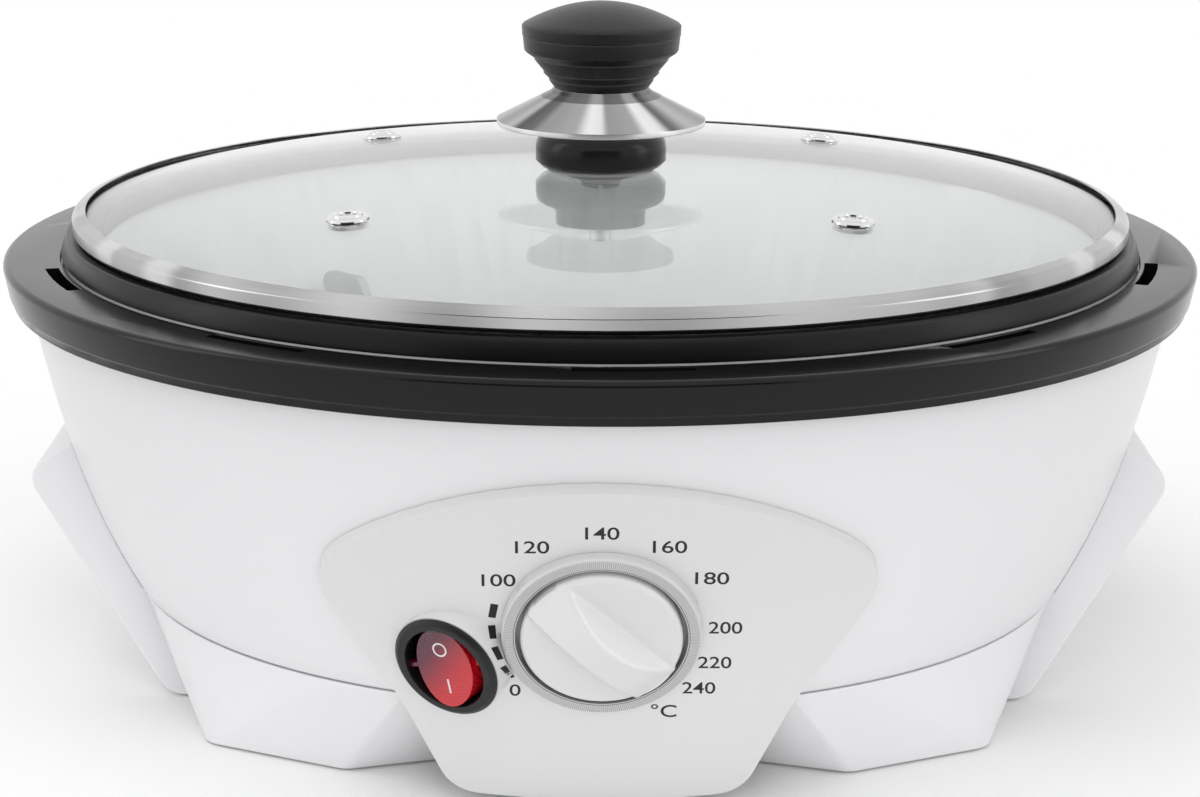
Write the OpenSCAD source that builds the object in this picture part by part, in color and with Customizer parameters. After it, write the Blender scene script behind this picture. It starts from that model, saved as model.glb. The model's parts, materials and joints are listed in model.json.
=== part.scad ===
// Home coffee roaster: a round countertop machine with a lift-off glass lid.
// A stirrer turns in a fixed metal pan over a ring heater. The pan hangs from a
// black rim on a white bowl, which stands on a round base with four legs. A
// control panel faces the front, with handles at both sides and a cover behind.
// Origin: on the table, under the pan's centre. +Z is up and -Y is the front.

/* [Rim] */
// Outer diameter of the black rim
rim_d = 300; // [290:1:310]
// Height of the rim's top above the table
rim_h = 110; // [108:0.5:116]
// Thickness of the rim's top plate
rim_plate = 5.2; // [4:0.1:6]
// Height of the rim's outer wall
rim_wall_h = 10.3; // [9:0.1:12]
// Number of vent slots in the rim
slot_count = 10; // [6:1:12]
// Width of a vent slot, measured outwards
slot_w = 3.2; // [2:0.1:4]
// Angle that a vent slot spans
slot_span = 11; // [6:0.5:14]
// Width of the rim's top outside the raised seat ring
rim_shelf_w = 14.6; // [13:0.1:16]
// Width of the seat ring
seat_w = 10.9; // [9:0.1:12]
// Height of the seat ring
seat_h = 5.2; // [4:0.1:7]

/* [Lid] */
// Distance of the lid's steel band from the seat ring's outer edge
lid_edge_w = 2.8; // [2.4:0.1:4]
// Height of the lid's steel band
band_h = 4.8; // [4.4:0.1:6]
// Thickness of the band's steel
band_t = 0.6; // [0.4:0.1:0.8]
// Thickness of the glass
glass_t = 3.4; // [3:0.1:3.6]
// Rise of the glass from its edge to its middle
dome_h = 9; // [6:0.5:12]
// How flat the glass is in its middle: 2 is an even dome
dome_power = 3.5; // [2:0.5:5]
// Radius of the circle on which the four vent eyelets lie
eyelet_circle_r = 84; // [60:1:100]
// Outer diameter of a vent eyelet
eyelet_d = 10.4; // [9:0.1:12]
// Bore of a vent eyelet
eyelet_bore = 4.4; // [3:0.1:5]
// Largest diameter of the lid's knob
knob_d = 40; // [36:0.5:46]
// Height of the lid's knob above its steel skirt
knob_h = 21.6; // [18:0.1:28]
// Diameter of the steel skirt under the lid's knob
skirt_d = 52.6; // [48:0.2:58]
// Height of the steel skirt
skirt_h = 9.2; // [8:0.1:14]
// Diameter of the collar that lifts the knob and its skirt off the glass
collar_d = 33; // [28:0.5:38]
// Height of the skirt's edge above the glass
skirt_lift = 11.5; // [9:0.1:14]

/* [Bowl] */
// How far the rim stands out over the bowl
rim_overhang = 6.4; // [6:0.1:8]
// How far the bowl draws in from its top to its foot
bowl_draw = 25.2; // [23:0.1:28]
// Height of the bowl's foot above the table
bowl_foot_h = 27; // [26:0.5:29]
// Share of the bowl's narrowing that is straight, the rest curves in low down
bowl_lean = 0.64; // [0.5:0.01:0.9]
// Thickness of the moulded walls
wall = 2.5; // [2:0.1:3]

/* [Pan] */
// Inner depth of the pan below its flange
pan_depth = 57; // [52:0.5:58]
// How far the pan's wall draws in from its top to the floor's sharp corner
pan_draw = 33; // [30:0.5:38]
// Radius between the pan's wall and its floor
pan_corner_r = 25; // [15:1:32]
// Thickness of the pan's metal
pan_t = 2; // [1.5:0.1:2.4]

/* [Base] */
// Height of the rubber feet below the legs
foot_h = 0.6; // [0.4:0.1:1]
// Diameter of a rubber foot
foot_d = 12; // [8:0.5:14]
// How far the base ring stands in from the bowl's foot
base_step = 30.4; // [29:0.1:32]
// Thickness of the base cover
cover_t = 2; // [1.5:0.1:2.5]

/* [Front panel] */
// Lean of the panel's face from upright
panel_tilt = 22; // [20:0.5:24]
// How far the face's lower edge lies inside the bowl's top
panel_inset = 32.4; // [31:0.1:33]
// Height of the panel's lower edge above the table
panel_lift = 2.2; // [1.5:0.1:4]
// Radius of the face's sideways curve
panel_curve_r = 180; // [160:5:400]
// Height of the face along its slope
panel_h = 88.4; // [84:0.2:89]
// Half the width of the panel at its upper corners, before they are rounded
panel_top_x = 65; // [62:0.5:66]
// Half the width of the panel at its waist
panel_waist_x = 44.5; // [42:0.5:48]
// Half the width of the panel at its foot, before its corners are rounded
panel_foot_x = 33.2; // [30:0.2:40]
// Height of the dial's centre along the face
dial_v = 50.8; // [48:0.2:54]
// Sideways distance of the dial's centre from the middle
dial_x = 0.8; // [0:0.1:2]
// Outer diameter of the clear ring round the dial
dial_ring_d = 44; // [42:0.5:46]
// Diameter of the control knob
dial_d = 36.8; // [35:0.2:38]
// Height of the control knob's grip above the face
dial_h = 11; // [9:0.5:13]
// Sideways distance of the switch from the middle
switch_x = 33.4; // [32:0.1:36]
// Height of the switch along the face
switch_v = 40.3; // [38:0.1:42]
// Diameter of the switch's bezel
bezel_d = 25.6; // [24:0.2:26]
// Turn of the switch towards the side
switch_turn = 26; // [22:0.5:28]

/* [Handles] */
// Lean of a handle's outer face from upright
handle_tilt = 33.8; // [32:0.1:35]
// How far a handle's outer face lies inside the bowl's top at its foot
handle_inset = 35.6; // [34.6:0.1:36.1]
// Height of a handle's outer corner above the table
handle_h = 55.4; // [50:0.1:58]
// Rise of a handle's top towards the bowl
handle_slope = 30; // [24:1:34]
// Half the width of a handle at its top
handle_top_w = 25; // [20:0.5:27]
// Half the width of a handle at its foot
handle_foot_w = 37; // [30:0.5:38]

/* [Stirrer and drive] */
// Diameter of the drive shaft
shaft_d = 8; // [6:0.1:9]
// Gap between the stirrer's blades and the pan
blade_gap = 2; // [1.5:0.1:4]
// Width of a stirrer blade
blade_w = 15; // [10:0.5:18]
// Thickness of a stirrer blade
blade_t = 3; // [2:0.1:4]
// Module of the gear teeth
gear_module = 0.8; // [0.8:0.02:0.84]
// Teeth of a pinion
pinion_teeth = 15; // [15:2:17]
// Teeth of a wheel
wheel_teeth = 45; // [45:2:47]
// Play between meshing teeth
backlash = 0.2; // [0.15:0.01:0.3]
// Thickness of a gear wheel
wheel_t = 3; // [2:0.1:3.2]
// Diameter of the motor's can
motor_d = 44; // [40:0.5:50]

/* [Heater] */
// Radius of the heater's ring
heater_r = 68; // [60:1:74]
// Diameter of the heater's tube
heater_d = 8; // [7:0.1:8.5]
// Height of the gap between the heater and the heat shield
shield_gap = 2.4; // [2:0.1:3]

/* [Hidden] */
$fn = 96;

// Gaps: between still pieces, round a turning shaft, and round a pressed pin
gap = 0.3;
run_fit = 0.05;
press_fit = 0.02;
steps = 20;

// Rim, seat ring and pan flange, from the table up
rim_r = rim_d / 2;
seat_r = rim_r - rim_shelf_w;
pan_flange_t = 1.5;
rim_recess = 1.2;
seat_z = rim_h + pan_flange_t - rim_recess;
seat_top = seat_z + seat_h;
seat_in_r = seat_r - seat_w;
pan_r = seat_in_r + 0.5;
rim_under = rim_h - rim_plate;
rim_in_r = pan_r + 4.5;
rim_taper = 2.5;
rim_skirt_t = 2.6;
rim_foot_t = 2.4;
slot_first = -87;
slot_r = seat_r + 1.4;
screw_r = 1.5;
screw_head_r = 3;
screw_head_h = 1.8;
lead_r = 1;

// Bowl
bowl_z1 = rim_h - rim_wall_h;
bowl_z0 = bowl_foot_h;
bowl_top_r = rim_r - rim_overhang;
bowl_foot_r = bowl_top_r - bowl_draw;
base_r = bowl_foot_r - base_step;
bowl_ledge_w = 9.5;
bowl_floor_r = base_r - 4;
bowl_foot_fillet = 1.2;
rim_screw_ring_r = bowl_top_r - wall - 4.4;
rim_screw_count = 5;

// Lid
lid_z = seat_top + gap;
lid_r = seat_r - lid_edge_w;
glass_edge_r = lid_r - band_t - 0.2;
glass_z = lid_z + band_h - 0.6;
glass_top = glass_z + dome_h;
glass_hole_r = 3.6;
eyelet_hole_r = eyelet_d / 2 - 1.6;
skirt_z = glass_top + skirt_lift;
skirt_lip = 1.5;
knob_neck_r = 12;
knob_z = skirt_z + skirt_h;
knob_stem_r = 7;
seal_h = 1;
collar_z = glass_top + seal_h;
collar_top = skirt_z + skirt_h - 2.4;

// Pan and drive stack, from the pan down
pan_z = rim_h - rim_recess - pan_depth + pan_flange_t;
pan_under = pan_z - pan_t;
pan_floor_r = pan_r - pan_draw;
pan_top = rim_h - rim_recess + pan_flange_t;
pan_wall_run = sqrt(pow(pan_top - pan_z, 2) + pow(pan_r - pan_floor_r, 2)) / (pan_top - pan_z);
shaft_r = shaft_d / 2;
bush_r = shaft_r + 3.2;
boss_r = bush_r + 4;
boss_h = 6;
hub_r = boss_r - 1;
hub_z = pan_z + boss_h + 1;
hub_h = 14;
stirrer_rest = 135;

// Base, legs and chassis
base_z = foot_h;
cover_recess = 2.4;
cover_z = base_z + cover_recess;
cover_top = cover_z + cover_t;
base_ledge_w = 8;
chassis_z = bowl_z0 + wall;
chassis_t = 1.5;
chassis_top = chassis_z + chassis_t;
chassis_r = bowl_foot_r - 12;
chassis_hole_r = chassis_r - 5.4;
shield_t = 1;
heater_z = pan_under - 0.2 - heater_d / 2;
shield_z = heater_z - heater_d / 2 - shield_gap - shield_t;
shield_r = bowl_foot_r - 23.4;
shield_rim_h = 10;
post_r = 4;
post_ring_r = shield_r - 11;

// Gearbox and motor under the chassis plate
gearbox_plate = 1.5;
gearbox_wall = 1.6;
gearbox_h = 13.5;
gearbox_z = chassis_z - gearbox_h;
gearbox_floor = gearbox_z + gearbox_plate;
gearbox_roof = chassis_z - gearbox_plate;
gear_gap = 0.3;
pinion_r = pinion_teeth * gear_module / 2;
wheel_r = wheel_teeth * gear_module / 2;
idler_x = pinion_r + wheel_r;
gearbox_r = wheel_r + gear_module + 1.2 + gearbox_wall;
idler_pin_r = 1.5;
rotor_shaft_r = 1.2;
motor_r = motor_d / 2;
motor_z = cover_top + 1;
motor_wall = 1;
magnet_r = motor_r - 9;
coil_r = magnet_r + 1.5;
ear_r = 5.5;

// Front panel
panel_reach = bowl_top_r - panel_inset;
panel_arc_r = 83.8;
panel_round_r = 12;
panel_foot_round_r = 9;
panel_waist_v = 26;
panel_waist_r = 80;
panel_depth = 36;
window_inset = 5;
switch_lean = asin(switch_x / panel_curve_r);
switch_pad_h = sin(switch_turn - switch_lean) * bezel_d / 2;
switch_w = sqrt(pow(panel_curve_r, 2) - pow(switch_x, 2)) - panel_curve_r + switch_pad_h;
dial_ring_t = 3.2;
dial_ring_h = 3;
dial_base_h = 3.8;
dial_point = 45.4;
spindle_r = 3;
spindle_hole_r = 5;
thermostat_w = 28;
thermostat_t = 14;
thermostat_sag = panel_curve_r - sqrt(pow(panel_curve_r, 2) - pow(thermostat_w / 2 + dial_x, 2));
thermostat_z = -wall - gap - thermostat_sag;
spindle_in = 8;
bezel_h = 1.4;
bezel_lip = 1.2;
switch_body_r = bezel_d / 2 - 1.3;
switch_body_h = 15;
window_v = switch_v - switch_body_r - 2 * gap;
rocker_rx = 7;
rocker_ry = 9.8;
rocker_swing_r = 10;
rocker_dish_r = 70;
rocker_pin_r = 1;
rocker_pivot_h = -1.5;
rocker_top_h = 3.1;
rocker_foot_h = 6;
rocker_swing = 20;
cavity_rx = rocker_rx + 2.8;
cavity_ry = rocker_swing_r + gap;
terminal = [6, 0.8, 8];
terminal_in = 1.9;

// Where the handles, the gland and the legs' corners lie
handle_reach = bowl_top_r - handle_inset;
handle_corner_r = 5.2;
handle_foot_r = 7.5;
gland_z = 34;
gland_r = 6;
gland_bore_r = 3.6;
gland_flange_r = 8.5;
leg_corners = [[34, 80.1], [59.5, 88.5], [97, 69.5], [87, 44]];
leg_top_span = [17.5, 68];
leg_top_inner = [[34, 62], [68, 36]];
leg_centre = [68, 66];
leg_foot_at = [77, 71];

// --- Shared shapes -------------------------------------------------------

function unit(v) = v / norm(v);

// Points of an arc about c, from angle a0 to a1
function arc(c, r, a0, a1, n = 8) =
    [for (i = [0:n]) let (a = a0 + (a1 - a0) * i / n) c + r * [cos(a), sin(a)]];

// The corner q between p and s, rounded to radius r
function round_corner(p, q, s, r, n = 6) =
    let (u = unit(p - q), v = unit(s - q), half = acos(u * v) / 2)
    let (c = q + unit(u + v) * r / sin(half), a = q + u * r / tan(half), b = q + v * r / tan(half))
    let (a0 = atan2(a[1] - c[1], a[0] - c[0]), a1 = atan2(b[1] - c[1], b[0] - c[0]))
    let (turn = (a1 - a0 + 540) % 360 - 180)
    arc(c, r, a0, a0 + turn, n);

// An outline with each corner rounded to its own radius
function round_outline(pts, radii) =
    [for (i = [0:len(pts) - 1])
        let (p = pts[(i + len(pts) - 1) % len(pts)], s = pts[(i + 1) % len(pts)])
        each radii[i] > 0 ? round_corner(p, pts[i], s, radii[i]) : [pts[i]]];

// Outer radius of the bowl at height z
function bowl_r(z) =
    let (s = (bowl_z1 - z) / (bowl_z1 - bowl_z0))
    bowl_top_r - (bowl_top_r - bowl_foot_r) * (bowl_lean * s + (1 - bowl_lean) * pow(s, 3));

function bowl_side(z0, z1, off = 0) =
    [for (i = [0:steps]) let (z = z0 + (z1 - z0) * i / steps) [bowl_r(z) + off, z]];

// Height of the glass's top at radius r
function glass_h(r) = glass_z + dome_h * (1 - pow(r / glass_edge_r, dome_power));

module turned(pts) {
    rotate_extrude() polygon(pts);
}

module tube(r, bore, h) {
    difference() {
        cylinder(h = h, r = r);
        translate([0, 0, -1]) cylinder(h = h + 2, r = bore);
    }
}

// A straight round rod between two points
module rod(p, q, r) {
    d = q - p;
    translate(p)
        rotate([0, acos(d[2] / norm(d)), atan2(d[1], d[0])])
            cylinder(h = norm(d), r = r, $fn = 24);
}

// A thin tube through a list of points, with a round bead at each bend
module wire(pts, r) {
    last = len(pts) - 2;
    for (i = [0:last]) {
        u = unit(pts[i + 1] - pts[i]) * 1.1 * r;
        rod(i == 0 ? pts[i] : pts[i] + u, i == last ? pts[i + 1] : pts[i + 1] - u, r);
    }
    for (i = [1:last]) translate(pts[i]) sphere(r = 1.6 * r, $fn = 24);
}

// Screws with their heads down and their tips up, at the points given
module screws_up(places, z_seat, z_tip) {
    for (p = places)
        translate([p[0], p[1], 0]) {
            translate([0, 0, z_seat - screw_head_h]) cylinder(h = screw_head_h, r = screw_head_r);
            translate([0, 0, z_seat - 0.1]) cylinder(h = z_tip - z_seat + 0.1, r = screw_r);
        }
}

module holes(places, r, z0, z1) {
    for (p = places) translate([p[0], p[1], z0]) cylinder(h = z1 - z0, r = r);
}

function ring_places(count, r, first) =
    [for (i = [0:count - 1]) r * [cos(first + i * 360 / count), sin(first + i * 360 / count)]];

// --- Lid -----------------------------------------------------------------

eyelet_places = ring_places(4, eyelet_circle_r, 45);
eyelet_lean = atan(dome_power * dome_h / glass_edge_r
    * pow(eyelet_circle_r / glass_edge_r, dome_power - 1));

module on_eyelets() {
    for (i = [0:3])
        rotate([0, 0, 45 + 90 * i])
            translate([eyelet_circle_r, 0, glass_h(eyelet_circle_r)])
                rotate([0, eyelet_lean, 0]) children();
}

module glass_lid() {
    radii = [for (i = [0:steps]) glass_edge_r * i / steps];
    color([0.86, 0.9, 0.9, 0.4]) difference() {
        turned(concat(
            [for (r = radii) [r, glass_h(r)]],
            [for (i = [steps:-1:0]) [radii[i], glass_h(radii[i]) - glass_t]]
        ));
        translate([0, 0, glass_z]) cylinder(h = dome_h + 10, r = glass_hole_r);
        on_eyelets() translate([0, 0, -10]) cylinder(h = 20, r = eyelet_hole_r);
    }
}

module lid_band() {
    under = glass_z - glass_t;
    lip_r = glass_edge_r - 2.6;
    color("silver") turned([
        [lip_r, under - gap], [lip_r, under - gap - band_t], [lid_r - 1, lid_z], [lid_r, lid_z + 1],
        [lid_r, lid_z + band_h - 1], [lid_r - 1, lid_z + band_h], [lip_r, glass_h(lip_r) + gap + band_t],
        [lip_r, glass_h(lip_r) + gap], [lid_r - band_t, glass_z + 0.1], [lid_r - band_t, under - gap],
    ]);
}

module vent_eyelets() {
    bore = eyelet_bore / 2;
    flange = eyelet_d / 2;
    color("silver") on_eyelets() turned([
        [bore, 1.2], [bore + 0.4, 1.7], [flange - 1.4, 1.7], [flange, 0.9], [flange, 0.1],
        [bore + 0.8, 0.1], [bore + 0.8, -glass_t - 0.1], [flange - 0.6, -glass_t - 0.1],
        [flange - 0.6, -glass_t - 0.8], [bore, -glass_t - 0.8],
    ]);
}

module lid_knob() {
    r = knob_d / 2;
    color([0.1, 0.1, 0.1]) difference() {
        union() {
            turned(concat(
                [[0, knob_z], [knob_neck_r, knob_z], [knob_neck_r + 0.6, knob_z + 2.6]],
                [[knob_neck_r + 2.7, knob_z + 5.6], [r - 1.7, knob_z + 9.2], [r - 0.5, knob_z + 13]],
                [[r, knob_z + 15.4], [r - 0.6, knob_z + 16.6]],
                [for (i = [0:6]) let (q = (r - 1) * (1 - i / 6))
                    [q, knob_z + 16.9 + (knob_h - 16.9) * (1 - pow(q / (r - 1), 2))]]
            ));
            translate([0, 0, collar_top + 0.05])
                cylinder(h = knob_z - collar_top, r = knob_stem_r);
        }
        translate([0, 0, collar_top - 1]) cylinder(h = knob_z - collar_top + 9, r = 3 + press_fit);
    }
}

module knob_skirt() {
    r = skirt_d / 2;
    t = 0.8;
    color("silver") turned([
        [r, skirt_z], [r, skirt_z + skirt_lip], [knob_neck_r + 0.5, knob_z - 0.05],
        [knob_stem_r + gap, knob_z - 0.05], [knob_stem_r + gap, knob_z - t],
        [knob_neck_r - t, knob_z - 1.5 * t], [r - t, skirt_z + skirt_lip - t], [r - t, skirt_z],
    ]);
}

// The collar under the skirt: round shoulders, and a neck that carries the skirt's cone
module knob_collar() {
    r = collar_d / 2;
    neck = knob_neck_r - 0.4;
    color([0.1, 0.1, 0.1]) turned(concat(
        [[3 + gap, collar_z], [r - 1.5, collar_z], [r, collar_z + 1.5]],
        [for (p = arc([r - 4, collar_z + 5], 4, 0, 75, 5)) p],
        [[neck + 1.2, collar_z + 9.6], [neck, collar_z + 10.4], [neck, collar_top], [3 + gap, collar_top]]
    ));
}

module knob_seal() {
    color([0.55, 0.55, 0.55]) translate([0, 0, glass_top]) tube(collar_d / 2 - 3, 3 + gap, seal_h);
}

module knob_washer() {
    color("silver") translate([0, 0, glass_top - glass_t - 1.2]) tube(8, 3 + gap, 1);
}

module knob_screw() {
    head_z = glass_top - glass_t - 1.2;
    color("silver") {
        translate([0, 0, head_z - 2.4]) difference() {
            cylinder(h = 2.4, r1 = 4.6, r2 = 6);
            translate([-0.6, -6, -1]) cube([1.2, 12, 1.8]);
        }
        translate([0, 0, head_z - 0.1]) cylinder(h = knob_z + 7 - head_z, r = 3);
    }
}

// --- Rim and pan ---------------------------------------------------------

module rim_ring() {
    foot_out = bowl_top_r;
    skirt_out = rim_r - rim_taper;
    boss_places = ring_places(rim_screw_count, rim_screw_ring_r, slot_first + 18);
    color([0.08, 0.08, 0.08]) difference() {
        union() {
            turned(round_outline([
                [rim_in_r, rim_under], [foot_out - rim_foot_t, rim_under],
                [foot_out - rim_foot_t, bowl_z1], [foot_out, bowl_z1], [foot_out, rim_under],
                [skirt_out - rim_skirt_t, rim_under], [skirt_out - rim_skirt_t, bowl_z1],
                [skirt_out, bowl_z1], [skirt_out + 0.4, bowl_z1 + 2], [rim_r - 1.6, bowl_z1 + 2.2],
                [rim_r, rim_h], [seat_r + 0.3, rim_h], [seat_r + 0.3, rim_h - rim_recess],
                [rim_in_r, rim_h - rim_recess],
            ], [0, 0, 0, 0, 0, 0, 0, 0, 0, 0.6, 1.4, 0, 0, 0]));
            for (p = boss_places)
                translate([p[0], p[1], bowl_z1]) cylinder(h = rim_plate + 1, r = 3.8);
        }
        for (i = [0:slot_count - 1])
            rotate([0, 0, slot_first + i * 360 / slot_count - slot_span / 2])
                rotate_extrude(angle = slot_span)
                    translate([slot_r, rim_under - 1]) square([slot_w, rim_plate + 2]);
        holes(boss_places, screw_r + press_fit, bowl_z1 - 1, rim_h - 2.5);
    }
}

module seat_ring() {
    color([0.06, 0.06, 0.06]) turned([
        [seat_in_r, seat_z], [seat_r, seat_z], [seat_r, seat_z + 1.2], [seat_r - 1.1, seat_top - 0.5],
        [seat_r - 1.6, seat_top], [seat_in_r + 0.5, seat_top], [seat_in_r, seat_top - 0.5],
    ]);
}

module rim_screws() {
    places = ring_places(rim_screw_count, rim_screw_ring_r, slot_first + 18);
    color("silver") screws_up(places, bowl_z1 - wall - 0.05, rim_h - 3);
}

// Outline of the room inside the pan, kept off the metal by off
function pan_room(off) = [
    [0, pan_top + 1], [pan_r + 0.6 - off * pan_wall_run, pan_top + 1],
    [pan_floor_r - off * pan_wall_run + off * (pan_r - pan_floor_r) / (pan_top - pan_z), pan_z + off],
    [0, pan_z + off],
];

module pan_inside(off) {
    turned(round_outline(pan_room(off), [0, 0, max(pan_corner_r - off, 1), 0]));
}

module roasting_pan() {
    flange_z = rim_h - rim_recess;
    color([0.72, 0.73, 0.74]) difference() {
        union() {
            intersection() {
                pan_inside(-pan_t);
                translate([0, 0, pan_under - 1]) cylinder(h = pan_top - pan_under + 1, r = rim_r);
            }
            translate([0, 0, flange_z]) cylinder(h = pan_flange_t, r = seat_r - 0.4);
        }
        difference() {
            pan_inside(0);
            translate([0, 0, pan_z - 1]) cylinder(h = boss_h + 1, r1 = boss_r + 3, r2 = boss_r);
        }
        translate([0, 0, pan_under - 1]) cylinder(h = boss_h + pan_t + 2, r = bush_r + press_fit);
    }
}

module pan_bush() {
    color("peru") {
        translate([0, 0, pan_under]) tube(bush_r, shaft_r + run_fit, boss_h + pan_t);
        translate([0, 0, pan_under - 1.5]) tube(bush_r + 1.5, shaft_r + run_fit, 1.5);
    }
}

// --- Stirrer and drive ---------------------------------------------------

// An upright blade that follows the pan's floor and wall; its inner end is inside the hub
module stirrer_arm() {
    outer = pan_room(blade_gap)[2];
    inner = pan_room(blade_gap + blade_w)[2];
    lean = (pan_r - pan_floor_r) / (pan_top - pan_z);
    top = pan_z + pan_depth * 0.62;
    start = hub_r - 4;
    clear = boss_r + 4;
    rotate([90, 0, 0]) linear_extrude(blade_t, center = true) polygon(round_outline([
        [start, hub_z + 0.7], [clear, hub_z + 0.7], [clear, outer.y], outer,
        [outer.x + lean * (top - outer.y), top], [inner.x + lean * (top - inner.y), top], inner,
        [start, inner.y],
    ], [0, 1, 1, pan_corner_r - blade_gap, 3, 3, pan_corner_r - blade_gap - blade_w, 0]));
}

module stirrer() {
    chamfer_h = 3;
    color([0.7, 0.71, 0.72]) difference() {
        union() {
            for (a = [0, 180]) rotate([0, 0, stirrer_rest + a]) stirrer_arm();
            translate([0, 0, hub_z]) cylinder(h = hub_h - chamfer_h, r1 = hub_r + 1, r2 = hub_r);
            translate([0, 0, hub_z + hub_h - chamfer_h])
                cylinder(h = chamfer_h, r1 = hub_r, r2 = hub_r - chamfer_h);
        }
        translate([0, 0, hub_z - 1]) cylinder(h = hub_h + 2, r = shaft_r + press_fit);
    }
}

module stirrer_nut() {
    z = hub_z + hub_h;
    color("silver") difference() {
        union() {
            translate([0, 0, z]) cylinder(h = 5, r = 6.5, $fn = 6);
            translate([0, 0, z + 4.9]) cylinder(h = 3, r1 = 5.2, r2 = 2.5);
        }
        translate([0, 0, z - 1]) cylinder(h = 6, r = shaft_r - 1 + press_fit);
    }
}

module drive_shaft() {
    z0 = gearbox_roof - gear_gap - wheel_t - 1;
    color("gainsboro") {
        translate([0, 0, z0]) cylinder(h = hub_z + hub_h - z0, r = shaft_r);
        translate([0, 0, hub_z + hub_h - 0.1]) cylinder(h = 4.6, r = shaft_r - 1);
    }
}

// One flank point of a gear with pitch radius p: half-angle of the tooth at radius r
function inv(a) = tan(a) * 180 / PI - a;
function flank(teeth, p, r) =
    let (b = p * cos(20))
    90 / teeth - backlash / 4 / p * 180 / PI + inv(20) - inv(acos(min(1, b / max(r, b))));

function gear_outline(teeth) =
    let (p = teeth * gear_module / 2, tip = p + 0.8 * gear_module, root = p - 1.15 * gear_module)
    let (radii = [root, p - 0.5 * gear_module, p, p + 0.4 * gear_module, tip])
    [for (k = [0:teeth - 1])
        each concat(
            [for (r = radii) let (a = k * 360 / teeth - flank(teeth, p, r)) r * [cos(a), sin(a)]],
            [for (i = [4:-1:0]) let (r = radii[i], a = k * 360 / teeth + flank(teeth, p, r))
                r * [cos(a), sin(a)]]
        )];

module gear(teeth, h, bore) {
    difference() {
        linear_extrude(h) polygon(gear_outline(teeth));
        translate([0, 0, -1]) cylinder(h = h + 2, r = bore);
    }
}

wheel_z = gearbox_floor + gear_gap;
output_z = gearbox_roof - gear_gap - wheel_t;

module output_wheel() {
    color("ivory") translate([0, 0, output_z]) gear(wheel_teeth, wheel_t, shaft_r + press_fit);
}

module idler_gear() {
    bore = idler_pin_r + run_fit;
    color("ivory") translate([idler_x, 0, wheel_z]) {
        gear(wheel_teeth, wheel_t, bore);
        translate([0, 0, wheel_t - 0.05]) gear(pinion_teeth, output_z - wheel_z, bore);
    }
}

module idler_pin() {
    color("gainsboro") translate([idler_x, 0, gearbox_z])
        cylinder(h = gearbox_h, r = idler_pin_r);
}

module rotor_pinion() {
    color("ivory") translate([0, 0, wheel_z])
        gear(pinion_teeth, wheel_t + 0.5, rotor_shaft_r + press_fit);
}

module rotor_magnet() {
    z0 = motor_z + motor_wall + gear_gap;
    color([0.3, 0.3, 0.33]) {
        translate([0, 0, z0]) cylinder(h = gearbox_z - z0 - 1, r = magnet_r);
        translate([0, 0, motor_z]) cylinder(h = wheel_z + wheel_t - motor_z, r = rotor_shaft_r);
    }
}

module stator_coil() {
    color("chocolate") translate([0, 0, motor_z + motor_wall])
        tube(motor_r - motor_wall - gap, coil_r, gearbox_z - motor_z - motor_wall - 1);
}

module motor_can() {
    color("silver") translate([0, 0, motor_z]) difference() {
        cylinder(h = gearbox_z - motor_z, r = motor_r);
        translate([0, 0, motor_wall]) cylinder(h = gearbox_z - motor_z, r = motor_r - motor_wall);
        translate([0, 0, -1]) cylinder(h = motor_wall + 2, r = rotor_shaft_r + run_fit);
    }
}

// The gearbox's outline: a round over each axle, joined by a straight part
module gearbox_body(z, h, inset) {
    r = gearbox_r - inset;
    translate([0, 0, z]) {
        cylinder(h = h, r = r);
        translate([idler_x, 0, 0]) cylinder(h = h, r = r);
        translate([0, -r, 0]) cube([idler_x, 2 * r, h]);
    }
}

gearbox_ears = [[-motor_r - screw_head_r - 0.6, 0], [idler_x + gearbox_r + 2, 0]];

module gearbox_housing() {
    color([0.8, 0.8, 0.8]) difference() {
        union() {
            gearbox_body(gearbox_z, gearbox_roof - gearbox_z, 0);
            holes(gearbox_ears, ear_r, gearbox_z, gearbox_roof);
        }
        gearbox_body(gearbox_floor, gearbox_h, gearbox_wall);
        holes([[0, 0]], rotor_shaft_r + run_fit, gearbox_z - 1, gearbox_floor + 1);
        holes([[idler_x, 0]], idler_pin_r + press_fit, gearbox_z - 1, gearbox_floor + 1);
        holes(gearbox_ears, screw_r + press_fit, gearbox_z - 1, gearbox_roof + 1);
    }
}

module gearbox_lid() {
    color("silver") difference() {
        union() {
            gearbox_body(gearbox_roof, gearbox_plate, 0);
            holes(gearbox_ears, ear_r, gearbox_roof, chassis_z);
        }
        holes([[0, 0]], shaft_r + run_fit, gearbox_roof - 1, chassis_z + 1);
        holes([[idler_x, 0]], idler_pin_r + press_fit, gearbox_roof - 1, chassis_z + 1);
        holes(gearbox_ears, screw_r + press_fit, gearbox_roof - 1, chassis_z + 1);
    }
}

// Two screws hold the gearbox from below, four hold the chassis, bowl and legs from above
module chassis_screws() {
    color("silver") {
        screws_up(gearbox_ears, gearbox_z - 0.02, chassis_top - 0.2);
        for (p = chassis_hole_places) translate([p[0], p[1], bowl_z0 - wall]) {
            cylinder(h = chassis_top - bowl_z0 + wall + 0.1, r = screw_r);
            translate([0, 0, chassis_top - bowl_z0 + wall + 0.02])
                cylinder(h = screw_head_h, r = screw_head_r);
        }
    }
}

// --- Chassis, heater and heat shield ------------------------------------

post_places = ring_places(4, post_ring_r, 45);
heater_gap_half = 18;
heater_pin_h = 3;
saddle_angles = [0, 180, 270];
chassis_hole_places = ring_places(4, chassis_hole_r, 45);

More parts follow.
